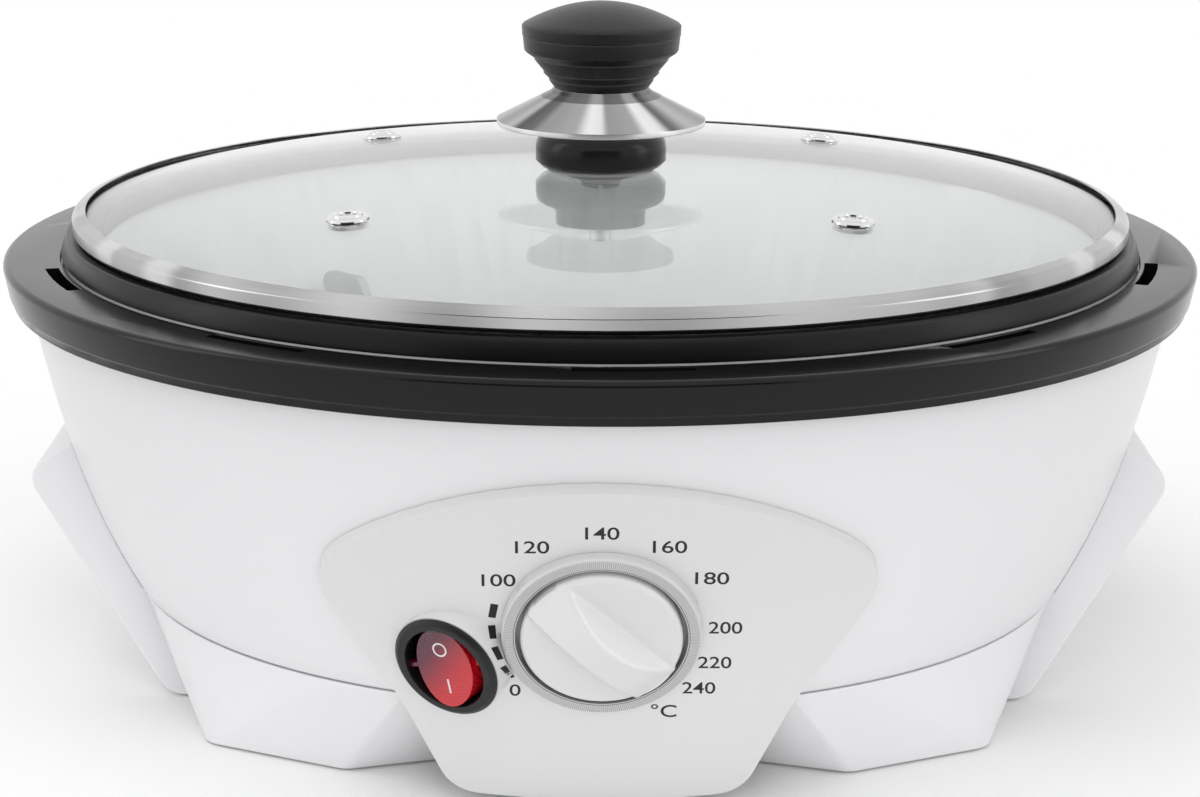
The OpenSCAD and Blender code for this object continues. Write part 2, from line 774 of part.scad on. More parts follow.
module chassis_plate() {
    color("silver") difference() {
        translate([0, 0, chassis_z]) cylinder(h = chassis_t, r = chassis_r);
        holes([[0, 0]], shaft_r + 2, chassis_z - 1, chassis_top + 1);
        holes(gearbox_ears, screw_r + press_fit, chassis_z - 1, chassis_top + 1);
        holes(chassis_hole_places, screw_r + press_fit, chassis_z - 1, chassis_top + 1);
        for (a = [90, 270])
            rotate([0, 0, a]) translate([72, -24, chassis_z - 1]) cube([rim_r, 48, chassis_t + 2]);
        for (x = [-1, 1]) translate([x * 30 - 4, -60, chassis_z - 1]) cube([8, 26, chassis_t + 2]);
    }
}

module heat_shield() {
    color("gainsboro") difference() {
        turned([
            [0, shield_z], [shield_r, shield_z], [shield_r + 2, shield_z + shield_rim_h],
            [shield_r + 1, shield_z + shield_rim_h], [shield_r - shield_t, shield_z + shield_t],
            [0, shield_z + shield_t],
        ]);
        holes([[0, 0]], shaft_r + 3, shield_z - 1, shield_z + 3);
        holes(heater_end_places(), heater_d / 2 + 1, shield_z - 1, shield_z + 3);
        holes([[-14, -50]], 2.5, shield_z - 1, shield_z + 3);
    }
}

module shield_posts() {
    color("silver") for (p = post_places)
        translate([p[0], p[1], chassis_top]) tube(post_r, screw_r, shield_z - chassis_top);
}

function heater_end_places() =
    [for (s = [-1, 1]) heater_r * [cos(90 + s * heater_gap_half), sin(90 + s * heater_gap_half)]];

module heater_ring() {
    r = heater_d / 2;
    end_h = heater_z - shield_z + r + 3;
    color([0.35, 0.33, 0.32]) {
        translate([0, 0, heater_z]) rotate([0, 0, 90 + heater_gap_half])
            rotate_extrude(angle = 360 - 2 * heater_gap_half) translate([heater_r, 0]) circle(r = r);
        for (p = heater_end_places()) translate([p[0], p[1], shield_z - 3]) {
            cylinder(h = end_h, r = r + 0.6);
            translate([0, 0, -heater_pin_h]) cylinder(h = heater_pin_h + 1, r = 1.2);
        }
    }
}

module heater_saddles() {
    base = shield_z + shield_t;
    color("silver") difference() {
        for (a = saddle_angles) rotate([0, 0, a])
            translate([heater_r - heater_d / 2 - 3, -5, base])
                cube([heater_d + 6, 10, heater_z - base + 1]);
        translate([0, 0, heater_z]) rotate_extrude()
            translate([heater_r, 0]) circle(r = heater_d / 2 + 0.1);
    }
}

// The thermostat's sensing bulb under the pan, with its thin tube
module sensor_bulb() {
    z = pan_under - 2.2;
    back = panel_point(dial_x, dial_v - 6, thermostat_z - thermostat_t - 0.5);
    color("peru") {
        rod([-14, -36, z], [14, -36, z], 2);
        wire([
            [-13, -36, z], [-14, -50, z - 3], [-14, -50, chassis_top + 3],
            [-8, -84, chassis_top + 3], [-3, back[1] + 9, chassis_top + 4],
            [0, back[1] + 6, back[2]], back,
        ], 0.9);
    }
}

module thermal_fuse() {
    z = shield_z - 2.6;
    color("gainsboro") {
        rod([-10, 40, z], [10, 40, z], 2.4);
        rod([-17, 40, z], [17, 40, z], 0.7);
    }
}

// --- Bowl and base -------------------------------------------------------

module bowl_solid(off) {
    turned(concat([[0, bowl_z0 - off]], bowl_side(bowl_z0 - off, bowl_z1, off), [[0, bowl_z1]]));
}

module outer_bowl() {
    ledge_z = bowl_z1 - wall;
    outer = bowl_side(bowl_z0 + bowl_foot_fillet, bowl_z1);
    inner = bowl_side(ledge_z, bowl_z0 + wall, -wall);
    color([0.94, 0.94, 0.95]) difference() {
        turned(concat(
            [[bowl_floor_r, bowl_z0], [bowl_foot_r - bowl_foot_fillet, bowl_z0]],
            [[bowl_foot_r - 0.3 * bowl_foot_fillet, bowl_z0 + 0.35 * bowl_foot_fillet]],
            outer,
            [[bowl_top_r - bowl_ledge_w, bowl_z1], [bowl_top_r - bowl_ledge_w, ledge_z]],
            inner,
            [[bowl_floor_r, bowl_z0 + wall]]
        ));
        holes(ring_places(rim_screw_count, rim_screw_ring_r, slot_first + 18),
            screw_r + press_fit, ledge_z - 1, bowl_z1 + 1);
        holes(chassis_hole_places, screw_r + press_fit, bowl_z0 - 1, chassis_z + 1);
        panel_window(0);
        translate([-12, 60, bowl_z0 + wall + 3]) cube([24, rim_r - 60, 16]);
    }
}

base_screw_places = ring_places(4, base_r - wall - base_ledge_w / 2, 20);

module base_ring() {
    color([0.92, 0.92, 0.93]) difference() {
        turned([
            [base_r, base_z + 1], [base_r, bowl_z0], [base_r - wall, bowl_z0],
            [base_r - wall, cover_top + 2.5], [base_r - wall - base_ledge_w, cover_top + 2.5],
            [base_r - wall - base_ledge_w, cover_top], [base_r - wall, cover_top],
            [base_r - wall, base_z + 1],
        ]);
        holes(base_screw_places, screw_r + press_fit, cover_top - 1, cover_top + 4);
    }
}

module base_cover() {
    color([0.75, 0.75, 0.76]) difference() {
        translate([0, 0, cover_z]) cylinder(h = cover_t, r = base_r - wall - gap);
        holes(base_screw_places, screw_r + press_fit, cover_z - 1, cover_top + 1);
        for (ring = [34, 44, 54, 64], a = [0:45:315]) rotate([0, 0, a - 14])
            rotate_extrude(angle = 28) translate([ring, cover_z - 1]) square([4, cover_t + 2]);
    }
}

module base_screws() {
    color("silver") screws_up(base_screw_places, cover_z - 0.02, cover_top + 2.2);
}

// One leg, in the quarter x > 0, y < 0, and mirrored for the others
module leg(sx, sy) {
    place = [sx, sy, 1];
    outer = bowl_foot_r - 0.1;
    inner = base_r + gap;
    top = bowl_z0 - 0.02;
    scale(place) color([0.93, 0.93, 0.94]) difference() {
        leg_block(outer, base_z, top, 0);
        leg_block(outer - wall, base_z + wall, top - wall, wall);
        translate([0, 0, -1]) cylinder(h = bowl_z0 + 2, r = inner);
        translate([leg_foot_at[0], leg_foot_at[1], base_z - 1])
            cylinder(h = wall + 2, r = foot_d / 4 + press_fit);
        translate([chassis_hole_r * cos(45), chassis_hole_r * sin(45), top - wall - 1])
            cylinder(h = wall + 2, r = screw_r + press_fit);
    }
}

// The tapering block of a leg: a wide arc under the bowl, drawn in to the corners on the table
module leg_block(r, z0, z1, inset) {
    foot = [for (p = leg_corners) p + unit(leg_centre - p) * inset];
    hull() {
        translate([0, 0, z1 - 0.5]) linear_extrude(0.5)
            polygon(concat(arc([0, 0], r, leg_top_span[0] + inset, leg_top_span[1] - inset, 12),
                leg_top_inner));
        translate([0, 0, z0]) linear_extrude(0.5)
            polygon(round_outline(foot, [2, 5, 7, 3]));
    }
}

module front_left_leg() { leg(-1, -1); }
module front_right_leg() { leg(1, -1); }
module rear_left_leg() { leg(-1, 1); }
module rear_right_leg() { leg(1, 1); }

module rubber_feet() {
    color([0.15, 0.15, 0.15]) for (sx = [-1, 1], sy = [-1, 1])
        translate([sx * leg_foot_at[0], sy * leg_foot_at[1], 0]) {
            cylinder(h = foot_h, r = foot_d / 2);
            cylinder(h = foot_h + wall + 1.5, r = foot_d / 4);
        }
}

// --- Handles and rear cover ----------------------------------------------

// A handle seen from its side: out along X, with its rounded outer corners
function handle_side(inset) =
    let (z0 = base_z + inset, z1 = handle_h - inset, out = handle_reach - inset / cos(handle_tilt))
    let (corner_x = out + (z1 - base_z) * tan(handle_tilt))
    let (foot_x = out + inset * tan(handle_tilt), inner = base_r - 6)
    round_outline(
        [[inner, z0], [foot_x, z0], [corner_x, z1], [inner, z1 + (corner_x - inner) * tan(handle_slope)]],
        [0, handle_foot_r - inset, handle_corner_r - inset, 0]
    );

// A handle seen from outside: wider at its foot
function handle_front(inset) =
    let (grow = (handle_foot_w - handle_top_w) / (handle_h - base_z))
    let (foot = handle_foot_w - inset, top = handle_foot_w - grow * rim_h - inset)
    [[-foot, base_z], [foot, base_z], [top, base_z + rim_h], [-top, base_z + rim_h]];

module handle_block(inset) {
    intersection() {
        translate([0, rim_r, 0]) rotate([90, 0, 0]) linear_extrude(2 * rim_r)
            polygon(handle_side(inset));
        rotate([90, 0, 90]) linear_extrude(2 * rim_r) polygon(handle_front(inset));
    }
}

// A hollow lobe that stands against the bowl and the base ring, facing +X
module lobe() {
    difference() {
        handle_block(0);
        handle_block(wall);
        bowl_solid(gap);
        translate([0, 0, -1]) cylinder(h = bowl_z0 + 1, r = base_r + gap);
    }
}

module left_handle() {
    color([0.93, 0.93, 0.94]) rotate([0, 0, 180]) lobe();
}

module right_handle() {
    color([0.93, 0.93, 0.94]) lobe();
}

gland_y = handle_reach + (gland_z - base_z) * tan(handle_tilt);

module gland_axis() {
    translate([0, gland_y, gland_z]) rotate([-90 - handle_tilt, 0, 0]) children();
}

module rear_cover() {
    color([0.93, 0.93, 0.94]) difference() {
        rotate([0, 0, 90]) lobe();
        gland_axis() translate([0, 0, -wall - 4]) cylinder(h = wall + 8, r = gland_r + press_fit);
    }
}

module cord_gland() {
    color([0.12, 0.12, 0.12]) gland_axis() {
        translate([0, 0, -wall - 5]) tube(gland_r, gland_bore_r, wall + 6);
        translate([0, 0, 0.3]) tube(gland_flange_r, gland_bore_r, 2.2);
    }
}

module terminal_block() {
    block = [30, 12, 6];
    color("ivory") translate([-block[0] / 2, 56, chassis_top]) difference() {
        cube(block);
        for (x = [5, 15, 25]) translate([x, -1, block[2] / 2]) rotate([-90, 0, 0])
            cylinder(h = block[1] + 2, r = 1.6);
    }
}

// --- Control panel -------------------------------------------------------

// The face's own frame: X to the right, Y up along the slope, Z out of the face
module panel_frame() {
    translate([0, -panel_reach, panel_lift]) rotate([90 + panel_tilt, 0, 0]) children();
}

function panel_point(x, v, w) = [
    x,
    -panel_reach - v * sin(panel_tilt) - w * cos(panel_tilt),
    panel_lift + v * cos(panel_tilt) - w * sin(panel_tilt),
];

// The fan-shaped outline: straight sides, an arched top and rounded corners
function panel_outline(inset) =
    let (foot = panel_foot_x - inset, waist = panel_waist_x - inset, r = panel_arc_r - inset)
    let (cy = panel_h - panel_arc_r, top_x = panel_top_x - 1.4 * inset, a1 = acos(top_x / r))
    let (half = [[foot, inset], [waist, panel_waist_v], [top_x, cy + r * sin(a1)]])
    let (bow = arc([0, cy], r, a1 + 10, 170 - a1, 16), corner_r = max(panel_round_r - inset, 2))
    round_outline(
        concat(half, bow, [for (i = [2:-1:0]) [-half[i][0], half[i][1]]]),
        concat([panel_foot_round_r - inset, panel_waist_r, corner_r], [for (p = bow) 0],
            [corner_r, panel_waist_r, panel_foot_round_r - inset])
    );

module panel_block(inset, w0, w1) {
    intersection() {
        translate([0, 0, w0]) linear_extrude(w1 - w0) polygon(panel_outline(inset));
        translate([0, -20, -panel_curve_r]) rotate([-90, 0, 0])
            cylinder(h = panel_h + 40, r = panel_curve_r - inset, $fn = 240);
    }
}

module switch_frame() {
    panel_frame() translate([-switch_x, switch_v, switch_w]) rotate([0, -switch_turn, 0]) children();
}

// The opening in the bowl behind the panel, widened by grow
module panel_window(grow) {
    panel_frame() translate([0, 0, -panel_depth]) linear_extrude(panel_depth + 10)
        intersection() {
            polygon(panel_outline(window_inset - grow));
            translate([-rim_r, window_v - grow]) square([2 * rim_r, panel_h]);
        }
}

module control_panel() {
    color([0.89, 0.89, 0.89]) difference() {
        union() {
            panel_frame() difference() {
                panel_block(0, -panel_depth, 1);
                panel_block(wall, -panel_depth - 1, 1);
            }
            difference() {
                switch_frame() translate([0, 0, -switch_pad_h * 2 - 2])
                    cylinder(h = switch_pad_h * 2 + 2, r = bezel_d / 2 + 0.2);
                behind_face(-wall / 2);
                panel_frame() translate([dial_x, dial_v, -wall])
                    cylinder(h = dial_base_h + 10, r = dial_ring_d / 2 + gap);
            }
        }
        panel_frame() translate([dial_x, dial_v, -wall - 1]) cylinder(h = wall + 3, r = spindle_hole_r);
        switch_frame() translate([0, 0, -switch_body_h])
            cylinder(h = switch_body_h + 4, r = switch_body_r + gap);
        difference() {
            bowl_solid(gap);
            panel_window(-gap);
        }
        translate([0, 0, -1]) cylinder(h = bowl_z0 + 1, r = base_r + gap);
    }
}

// All that lies behind the panel's face, lifted by off
module behind_face(off) {
    panel_frame() translate([0, -20, -panel_curve_r]) rotate([-90, 0, 0])
        cylinder(h = panel_h + 40, r = panel_curve_r + off, $fn = 240);
}

module dial_ring() {
    r = dial_ring_d / 2;
    sag = panel_curve_r - sqrt(pow(panel_curve_r, 2) - r * r);
    color([0.8, 0.8, 0.8, 0.6]) difference() {
        panel_frame() translate([dial_x, dial_v, -sag - 1]) turned(round_outline(
            [[r - dial_ring_t, 0], [r, 0], [r, dial_ring_h + sag + 1],
                [r - dial_ring_t, dial_ring_h + sag + 1]], [0, 0, 1, 0.4]));
        behind_face(0.02);
    }
}

// The knob's disc and the bar across it, which is highest in its middle
module control_knob() {
    r = dial_d / 2;
    grip_w = 11.5;
    rise = dial_h - dial_base_h;
    arch_r = (r * r + rise * rise) / 2 / rise;
    color("white") panel_frame() translate([dial_x, dial_v, 0.4]) rotate([0, 0, dial_point])
        difference() {
            union() {
                cylinder(h = dial_base_h - 0.6, r = r);
                translate([0, 0, dial_base_h - 0.61]) cylinder(h = 0.61, r1 = r, r2 = r - 0.6);
                intersection() {
                    cylinder(h = dial_h + 1, r = r - 0.6);
                    translate([-grip_w / 2, -r, 1]) cube([grip_w, 2 * r, dial_h]);
                    translate([-grip_w, 0, dial_h - arch_r]) rotate([0, 90, 0])
                        cylinder(h = 2 * grip_w, r = arch_r);
                }
            }
            translate([0, 0, -1]) cylinder(h = dial_base_h + 4, r = spindle_r + press_fit);
        }
}

module thermostat_spindle() {
    color("gainsboro") panel_frame() translate([dial_x, dial_v, thermostat_z - spindle_in])
        cylinder(h = spindle_in - thermostat_z + dial_base_h + 3, r = spindle_r);
}

module thermostat_body() {
    w = thermostat_w;
    color("ivory") panel_frame() translate([dial_x, dial_v, thermostat_z - thermostat_t]) difference() {
        union() {
            translate([-w / 2, -w / 2, 0]) cube([w, w, thermostat_t]);
            translate([0, 0, thermostat_t - 0.1]) cylinder(h = wall + 0.3, r = spindle_hole_r - gap);
        }
        translate([0, 0, thermostat_t - spindle_in - 1]) cylinder(h = 20, r = spindle_r + run_fit);
    }
}

// --- Switch --------------------------------------------------------------

module oval(rx, ry, z0, z1) {
    translate([0, 0, z0]) scale([rx, ry, 1]) cylinder(h = z1 - z0, r = 1, $fn = 72);
}

module switch_bezel() {
    r = bezel_d / 2;
    color([0.07, 0.07, 0.07]) switch_frame() difference() {
        turned([
            [0, 0.02], [r, 0.02], [r, bezel_h - 0.8], [r - 1, bezel_h], [r - 1 - bezel_lip, bezel_h],
            [0, bezel_h],
        ]);
        oval(cavity_rx, cavity_ry, -1, bezel_h + 1);
    }
}

module switch_body() {
    color([0.12, 0.12, 0.12]) switch_frame() difference() {
        translate([0, 0, -switch_body_h]) cylinder(h = switch_body_h, r = switch_body_r);
        oval(cavity_rx, cavity_ry, -switch_body_h + 2, 1);
        translate([-20, 0, rocker_pivot_h]) rotate([0, 90, 0])
            cylinder(h = 40, r = rocker_pin_r + run_fit);
        terminals(run_fit);
    }
}

module switch_rocker() {
    pin_half = (cavity_rx + switch_body_r) / 2;
    color([0.75, 0.05, 0.1]) switch_frame() translate([0, 0, rocker_pivot_h]) {
        rotate([-rocker_swing / 2, 0, 0]) difference() {
            intersection() {
                oval(rocker_rx, rocker_ry, -rocker_foot_h, rocker_top_h + 3);
                translate([-rocker_rx - 1, 0, 0]) rotate([0, 90, 0])
                    cylinder(h = 2 * rocker_rx + 2, r = rocker_swing_r);
            }
            translate([-rocker_rx - 1, 0, rocker_top_h + rocker_dish_r]) rotate([0, 90, 0])
                cylinder(h = 2 * rocker_rx + 2, r = rocker_dish_r);
        }
        translate([-pin_half, 0, 0]) rotate([0, 90, 0]) cylinder(h = 2 * pin_half, r = rocker_pin_r);
    }
}

// The three flat blades in the body's floor, grown by fit
module terminals(fit) {
    size = terminal + 2 * [fit, fit, fit];
    for (y = [-5, 0, 5])
        translate([-size[0] / 2, y - size[1] / 2, terminal_in - terminal[2] - switch_body_h - fit]) cube(size);
}

module switch_terminals() {
    color("gold") switch_frame() terminals(0);
}

// --- Wiring --------------------------------------------------------------

// A lead bent round the axis at radius r, from angle a0 to a1, with straight ends inwards
module lead(r, a0, a1, r0, r1, z) {
    translate([0, 0, z]) {
        rotate([0, 0, a0]) rotate_extrude(angle = a1 - a0) translate([r, 0]) circle(r = lead_r);
        rotate([0, 0, a0 + 1]) translate([r0, 0, 0]) rotate([0, 90, 0]) cylinder(h = r - r0, r = lead_r);
        rotate([0, 0, a1 - 1]) translate([r1, 0, 0]) rotate([0, 90, 0]) cylinder(h = r - r1, r = lead_r);
    }
}

module wiring() {
    z = chassis_top + lead_r + 0.1;
    color("firebrick") {
        lead(post_ring_r + 10.5, 84, 246, post_ring_r - 15, post_ring_r - 12, z);
        lead(post_ring_r + 7, 96, 250, post_ring_r - 15, post_ring_r - 12, z + 2.5);
    }
}

glass_lid();
lid_band();
vent_eyelets();
lid_knob();
knob_skirt();
knob_collar();
knob_seal();
knob_washer();
knob_screw();
rim_ring();
seat_ring();
rim_screws();
roasting_pan();
pan_bush();
stirrer();
stirrer_nut();
drive_shaft();
output_wheel();
idler_gear();
idler_pin();
rotor_pinion();
rotor_magnet();
stator_coil();
motor_can();
gearbox_housing();
gearbox_lid();
chassis_plate();
chassis_screws();
heat_shield();
shield_posts();
heater_ring();
heater_saddles();
sensor_bulb();
thermal_fuse();
outer_bowl();
base_ring();
base_cover();
base_screws();
front_left_leg();
front_right_leg();
rear_left_leg();
rear_right_leg();
rubber_feet();
left_handle();
right_handle();
rear_cover();
cord_gland();
terminal_block();
control_panel();
dial_ring();
control_knob();
thermostat_spindle();
thermostat_body();
switch_bezel();
switch_body();
switch_rocker();
switch_terminals();
wiring();
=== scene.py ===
"""The looks of the home coffee roaster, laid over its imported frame.

Each operator dresses one piece or one group of like pieces. Lengths are in metres and
the frame's origin is on the table under the pan's centre, with -Y to the front.
"""

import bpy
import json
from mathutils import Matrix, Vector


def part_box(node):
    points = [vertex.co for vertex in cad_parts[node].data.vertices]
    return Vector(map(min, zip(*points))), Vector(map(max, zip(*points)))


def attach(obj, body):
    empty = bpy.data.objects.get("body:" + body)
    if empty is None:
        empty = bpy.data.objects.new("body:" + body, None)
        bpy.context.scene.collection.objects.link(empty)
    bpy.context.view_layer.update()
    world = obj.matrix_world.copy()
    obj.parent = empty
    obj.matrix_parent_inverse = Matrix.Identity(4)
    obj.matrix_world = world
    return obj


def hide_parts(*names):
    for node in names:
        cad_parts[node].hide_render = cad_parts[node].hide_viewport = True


bl_info = {
    "name": "Home coffee roaster",
    "version": (1, 0, 0),
    "blender": (4, 5, 0),
    "location": "3D View > Sidebar > Roaster",
    "description": "Dresses the countertop coffee roaster and sets up its studio",
    "category": "Object",
}

import json
import math

import bmesh
import bpy
from bpy.props import FloatProperty, FloatVectorProperty, IntProperty, PointerProperty
from mathutils import Euler, Matrix, Vector
from mathutils.bvhtree import BVHTree

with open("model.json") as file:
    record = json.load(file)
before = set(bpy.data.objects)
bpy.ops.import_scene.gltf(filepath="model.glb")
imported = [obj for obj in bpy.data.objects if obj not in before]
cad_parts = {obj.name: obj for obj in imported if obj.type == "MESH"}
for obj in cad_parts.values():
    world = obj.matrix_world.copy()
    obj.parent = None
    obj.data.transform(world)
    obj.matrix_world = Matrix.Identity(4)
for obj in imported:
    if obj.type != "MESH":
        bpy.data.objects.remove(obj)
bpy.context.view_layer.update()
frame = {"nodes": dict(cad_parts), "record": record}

MM = 0.001
MERGE = 0.001 * MM
ORIGIN = Vector((0, 0, 0))
AXIS_Z = Vector((0, 0, 1))
PANEL_TILT = math.radians(22)
PANEL_FRAME = Matrix.Translation((0, -111.2 * MM, 2.2 * MM)) @ Matrix.Rotation(
    math.radians(90) + PANEL_TILT, 4, "X"
)
DIAL_X = 0.8 * MM
DIAL_V = 50.8 * MM
DIAL_FRAME = PANEL_FRAME @ Matrix.Translation((DIAL_X, DIAL_V, 0))
DIAL_POINT = math.radians(45.4)
SWITCH_FRAME = (
    PANEL_FRAME
    @ Matrix.Translation((-33.4 * MM, 40.3 * MM, 0.2538 * MM))
    @ Matrix.Rotation(math.radians(-26), 4, "Y")
)
ROCKER_FRAME = (
    SWITCH_FRAME
    @ Matrix.Translation((0, 0, -1.5 * MM))
    @ Matrix.Rotation(math.radians(-10), 4, "X")
    @ Matrix.Rotation(math.radians(20), 4, "Z")
)


# --- Sizes and colours that a user would change


def length(name, description, default):
    """A length that a user can change."""
    return FloatProperty(name=name, description=description, default=default, min=0, unit="LENGTH")


def colour(name, description, default):
    """A colour that a user can change."""
    return FloatVectorProperty(
        name=name, description=description, default=default, size=3, min=0, max=1, subtype="COLOR"
    )


class RoasterLid(bpy.types.PropertyGroup):
    glass_tint: colour("Glass tint", "Colour of the lid's glass", (0.90, 0.91, 0.91))
    steel: colour("Steel", "Colour of the band, skirt and eyelets", (0.72, 0.72, 0.73))
    knob_black: colour("Knob black", "Colour of the lid's knob", (0.004, 0.004, 0.004))
    knob_lines: IntProperty(
        name="Segments", description="Segments round the lid's turned pieces", default=128, min=24
    )


class RoasterBody(bpy.types.PropertyGroup):
    white: colour("White", "Colour of the moulded body", (0.825, 0.825, 0.84))
    rim_black: colour("Rim black", "Colour of the rim and its seat ring", (0.006, 0.006, 0.006))
    pan_grey: colour("Pan grey", "Colour of the pan's metal", (0.84, 0.84, 0.84))
    edge: length("Edge rounding", "Rounding of the moulded edges", 0.9 * MM)


class RoasterFront(bpy.types.PropertyGroup):
    # The panel's and the dial's whites are darker than the body's white: painted shade on the
    # front's faces.
    panel: colour("Panel", "Colour of the control panel", (0.74, 0.74, 0.74))
    ink: colour("Ink", "Colour of the dial's numbers", (0.004, 0.004, 0.004))
    dial_white: colour("Dial white", "Colour of the control knob", (0.73, 0.73, 0.73))
    # The rocker's two reds are painted light: a painted glow at its lower end and painted shade at
    # its upper end.
    rocker_red: colour("Rocker red", "Colour of the rocker's lower end", (0.72, 0.008, 0.02))
    rocker_shaded_red: colour("Rocker deep red", "Colour of the rocker's upper end", (0.10, 0.0, 0.03))
    digit_h: length("Digit height", "Height of a digit round the dial", 3.4 * MM)
    digit_w: length("Digit width", "Width that one digit takes", 2.46 * MM)


class RoasterStage(bpy.types.PropertyGroup):
    floor_white: colour("Floor", "Colour of the floor", (0.97, 0.97, 0.97))
    ambient: FloatProperty(
        name="Ambient", description="Strength of the light from all round", default=0.62, min=0
    )
    key_w: FloatProperty(
        name="Key light", description="Power of the light above", default=11.5, min=0, unit="POWER"
    )
    fill_w: FloatProperty(
        name="Front light", description="Power of the light in front", default=10, min=0,
        unit="POWER",
    )


# --- Mesh helpers


def body_of_node(node):
    """The CAD body that a node rides on."""
    for body, nodes in frame["record"]["behaviour"]["bodies"].items():
        if node in nodes:
            return body
    raise ValueError(f"no body holds {node}")


def new_object(bm, name, material):
    """Turns a bmesh into an object in the scene."""
    mesh = bpy.data.meshes.new(name)
    bm.to_mesh(mesh)
    bm.free()
    mesh.materials.append(material)
    made = bpy.data.objects.new(name, mesh)
    bpy.context.scene.collection.objects.link(made)
    return made


def finish_piece(bm, name, node, material, smooth_angle):
    """Turns a bmesh into a piece that rides on a node's body and has its slot."""
    piece = new_object(bm, name, material)
    piece.data.shade_smooth()
    piece.data.set_sharp_from_angle(angle=math.radians(smooth_angle))
    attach(piece, body_of_node(node))
    return piece


def replace_node(bm, name, node, material, smooth_angle):
    """Turns a bmesh into a piece that takes a node's place."""
    piece = finish_piece(bm, name, node, material, smooth_angle)
    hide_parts(node)
    return piece


def set_down(bm, place):
    """Moves a whole bmesh by a matrix."""
    bmesh.ops.transform(bm, matrix=place, verts=bm.verts)


def pour(part, whole):
    """Adds one bmesh to another and frees it."""
    mesh = bpy.data.meshes.new("part")
    part.to_mesh(mesh)
    part.free()
    whole.from_mesh(mesh)
    bpy.data.meshes.remove(mesh)


def merged_node(node):
    """A bmesh of a CAD node, with its loose triangles merged and its flats made whole."""
    bm = bmesh.new()
    bm.from_mesh(frame["nodes"][node].data)
    bmesh.ops.remove_doubles(bm, verts=bm.verts, dist=0.002 * MM)
    bmesh.ops.dissolve_limit(bm, angle_limit=math.radians(0.4), verts=bm.verts, edges=bm.edges)
    return bm


def smooth_copy(node, material, bevel=0.0, segments=3, smooth_angle=35, sharp_from=40):
    """A copy of a CAD node with rounded edges, which takes the node's place."""
    piece = finish_piece(merged_node(node), node + "_shell", node, material, smooth_angle)
    if bevel:
        rounding = piece.modifiers.new("Edges", "BEVEL")
        rounding.width = bevel
        rounding.segments = segments
        rounding.limit_method = "ANGLE"
        rounding.angle_limit = math.radians(sharp_from)
        rounding.use_clamp_overlap = True
        rounding.harden_normals = True
        rounding.miter_outer = "MITER_ARC"
    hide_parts(node)
    return piece


def turn_round(bm, verts, edges, steps, merge):
    """Spins a line of vertices all the way round Z and merges its ends."""
    bmesh.ops.spin(
        bm, geom=verts + edges, cent=ORIGIN, axis=AXIS_Z, angle=math.tau, steps=steps,
        use_merge=True,
    )
    bmesh.ops.remove_doubles(bm, verts=bm.verts, dist=merge)


def spun(profile, segments):
    """A bmesh of a closed outline of (radius, height) points, spun round Z."""
    bm = bmesh.new()
    verts = [bm.verts.new((r, 0, z)) for r, z in profile]
    edges = [bm.edges.new(pair) for pair in zip(verts, verts[1:] + verts[:1])]
    turn_round(bm, verts, edges, segments, MERGE)
    bmesh.ops.recalc_face_normals(bm, faces=bm.faces)
    return bm


def flat_disc(radii, segments, merge):
    """A bmesh of a flat disc round Z, with a ring of vertices at each radius."""
    bm = bmesh.new()
    line = [bm.verts.new((r, 0, 0)) for r in radii]
    edges = [bm.edges.new(pair) for pair in zip(line, line[1:])]
    turn_round(bm, line, edges, segments, merge)
    return bm


def close_foot(bm):
    """Caps the open foot of a turned shape and points its faces outwards."""
    bmesh.ops.holes_fill(bm, edges=[e for e in bm.edges if e.is_boundary], sides=0)
    bmesh.ops.recalc_face_normals(bm, faces=bm.faces)


def rounded(profile, radii, steps=4):
    """An outline with its corners rounded, each to its own radius."""
    out = []
    for i, (point, radius) in enumerate(zip(profile, radii)):
        here = Vector(point)
        if radius <= 0:
            out.append(tuple(here))
            continue
        before = (Vector(profile[i - 1]) - here).normalized()
        after = (Vector(profile[(i + 1) % len(profile)]) - here).normalized()
        half = before.angle(after) / 2
        start = here + before * radius / math.tan(half)
        end = here + after * radius / math.tan(half)
        for k in range(steps + 1):
            t = k / steps
            out.append(tuple(start.lerp(here, t).lerp(here.lerp(end, t), t)))
    return out


def dress(node, material):
    """Puts a material on every slot of a CAD node."""
    for slot in frame["nodes"][node].material_slots:
        slot.material = material


# --- Shader helpers


def new_group(name, inputs, outputs):
    """A shader group with a vector and numbers as its inputs, and numbers as its outputs."""
    group = bpy.data.node_groups.new(name, "ShaderNodeTree")
    sockets = group.interface
    sockets.new_socket("Vector", in_out="INPUT", socket_type="NodeSocketVector")
    for label, default in inputs.items():
        socket = sockets.new_socket(label, in_out="INPUT", socket_type="NodeSocketFloat")
        socket.default_value = default
    for label in outputs:
        sockets.new_socket(label, in_out="OUTPUT", socket_type="NodeSocketFloat")
    given, made = group.nodes.new("NodeGroupInput"), group.nodes.new("NodeGroupOutput")
    return group, given.outputs, made.inputs


def feed(tree, socket, value):
    """Sets a socket to a number, or links it to another socket."""
    if isinstance(value, (int, float)):
        socket.default_value = value
    else:
        tree.links.new(value, socket)


def math_node(tree, operation, *values):
    """A node of simple arithmetic on up to three values."""
    node = tree.nodes.new("ShaderNodeMath")
    node.operation = operation
    for socket, value in zip(node.inputs, values):
        feed(tree, socket, value)
    return node.outputs[0]


def remap(tree, value, low, high, start=0.0, end=1.0, smooth=False):
    """Maps a value from start..end to low..high."""
    node = tree.nodes.new("ShaderNodeMapRange")
    if smooth:
        node.interpolation_type = "SMOOTHSTEP"
    settings = {"Value": value, "From Min": start, "From Max": end, "To Min": low, "To Max": high}
    for name, setting in settings.items():
        feed(tree, node.inputs[name], setting)
    return node.outputs[0]


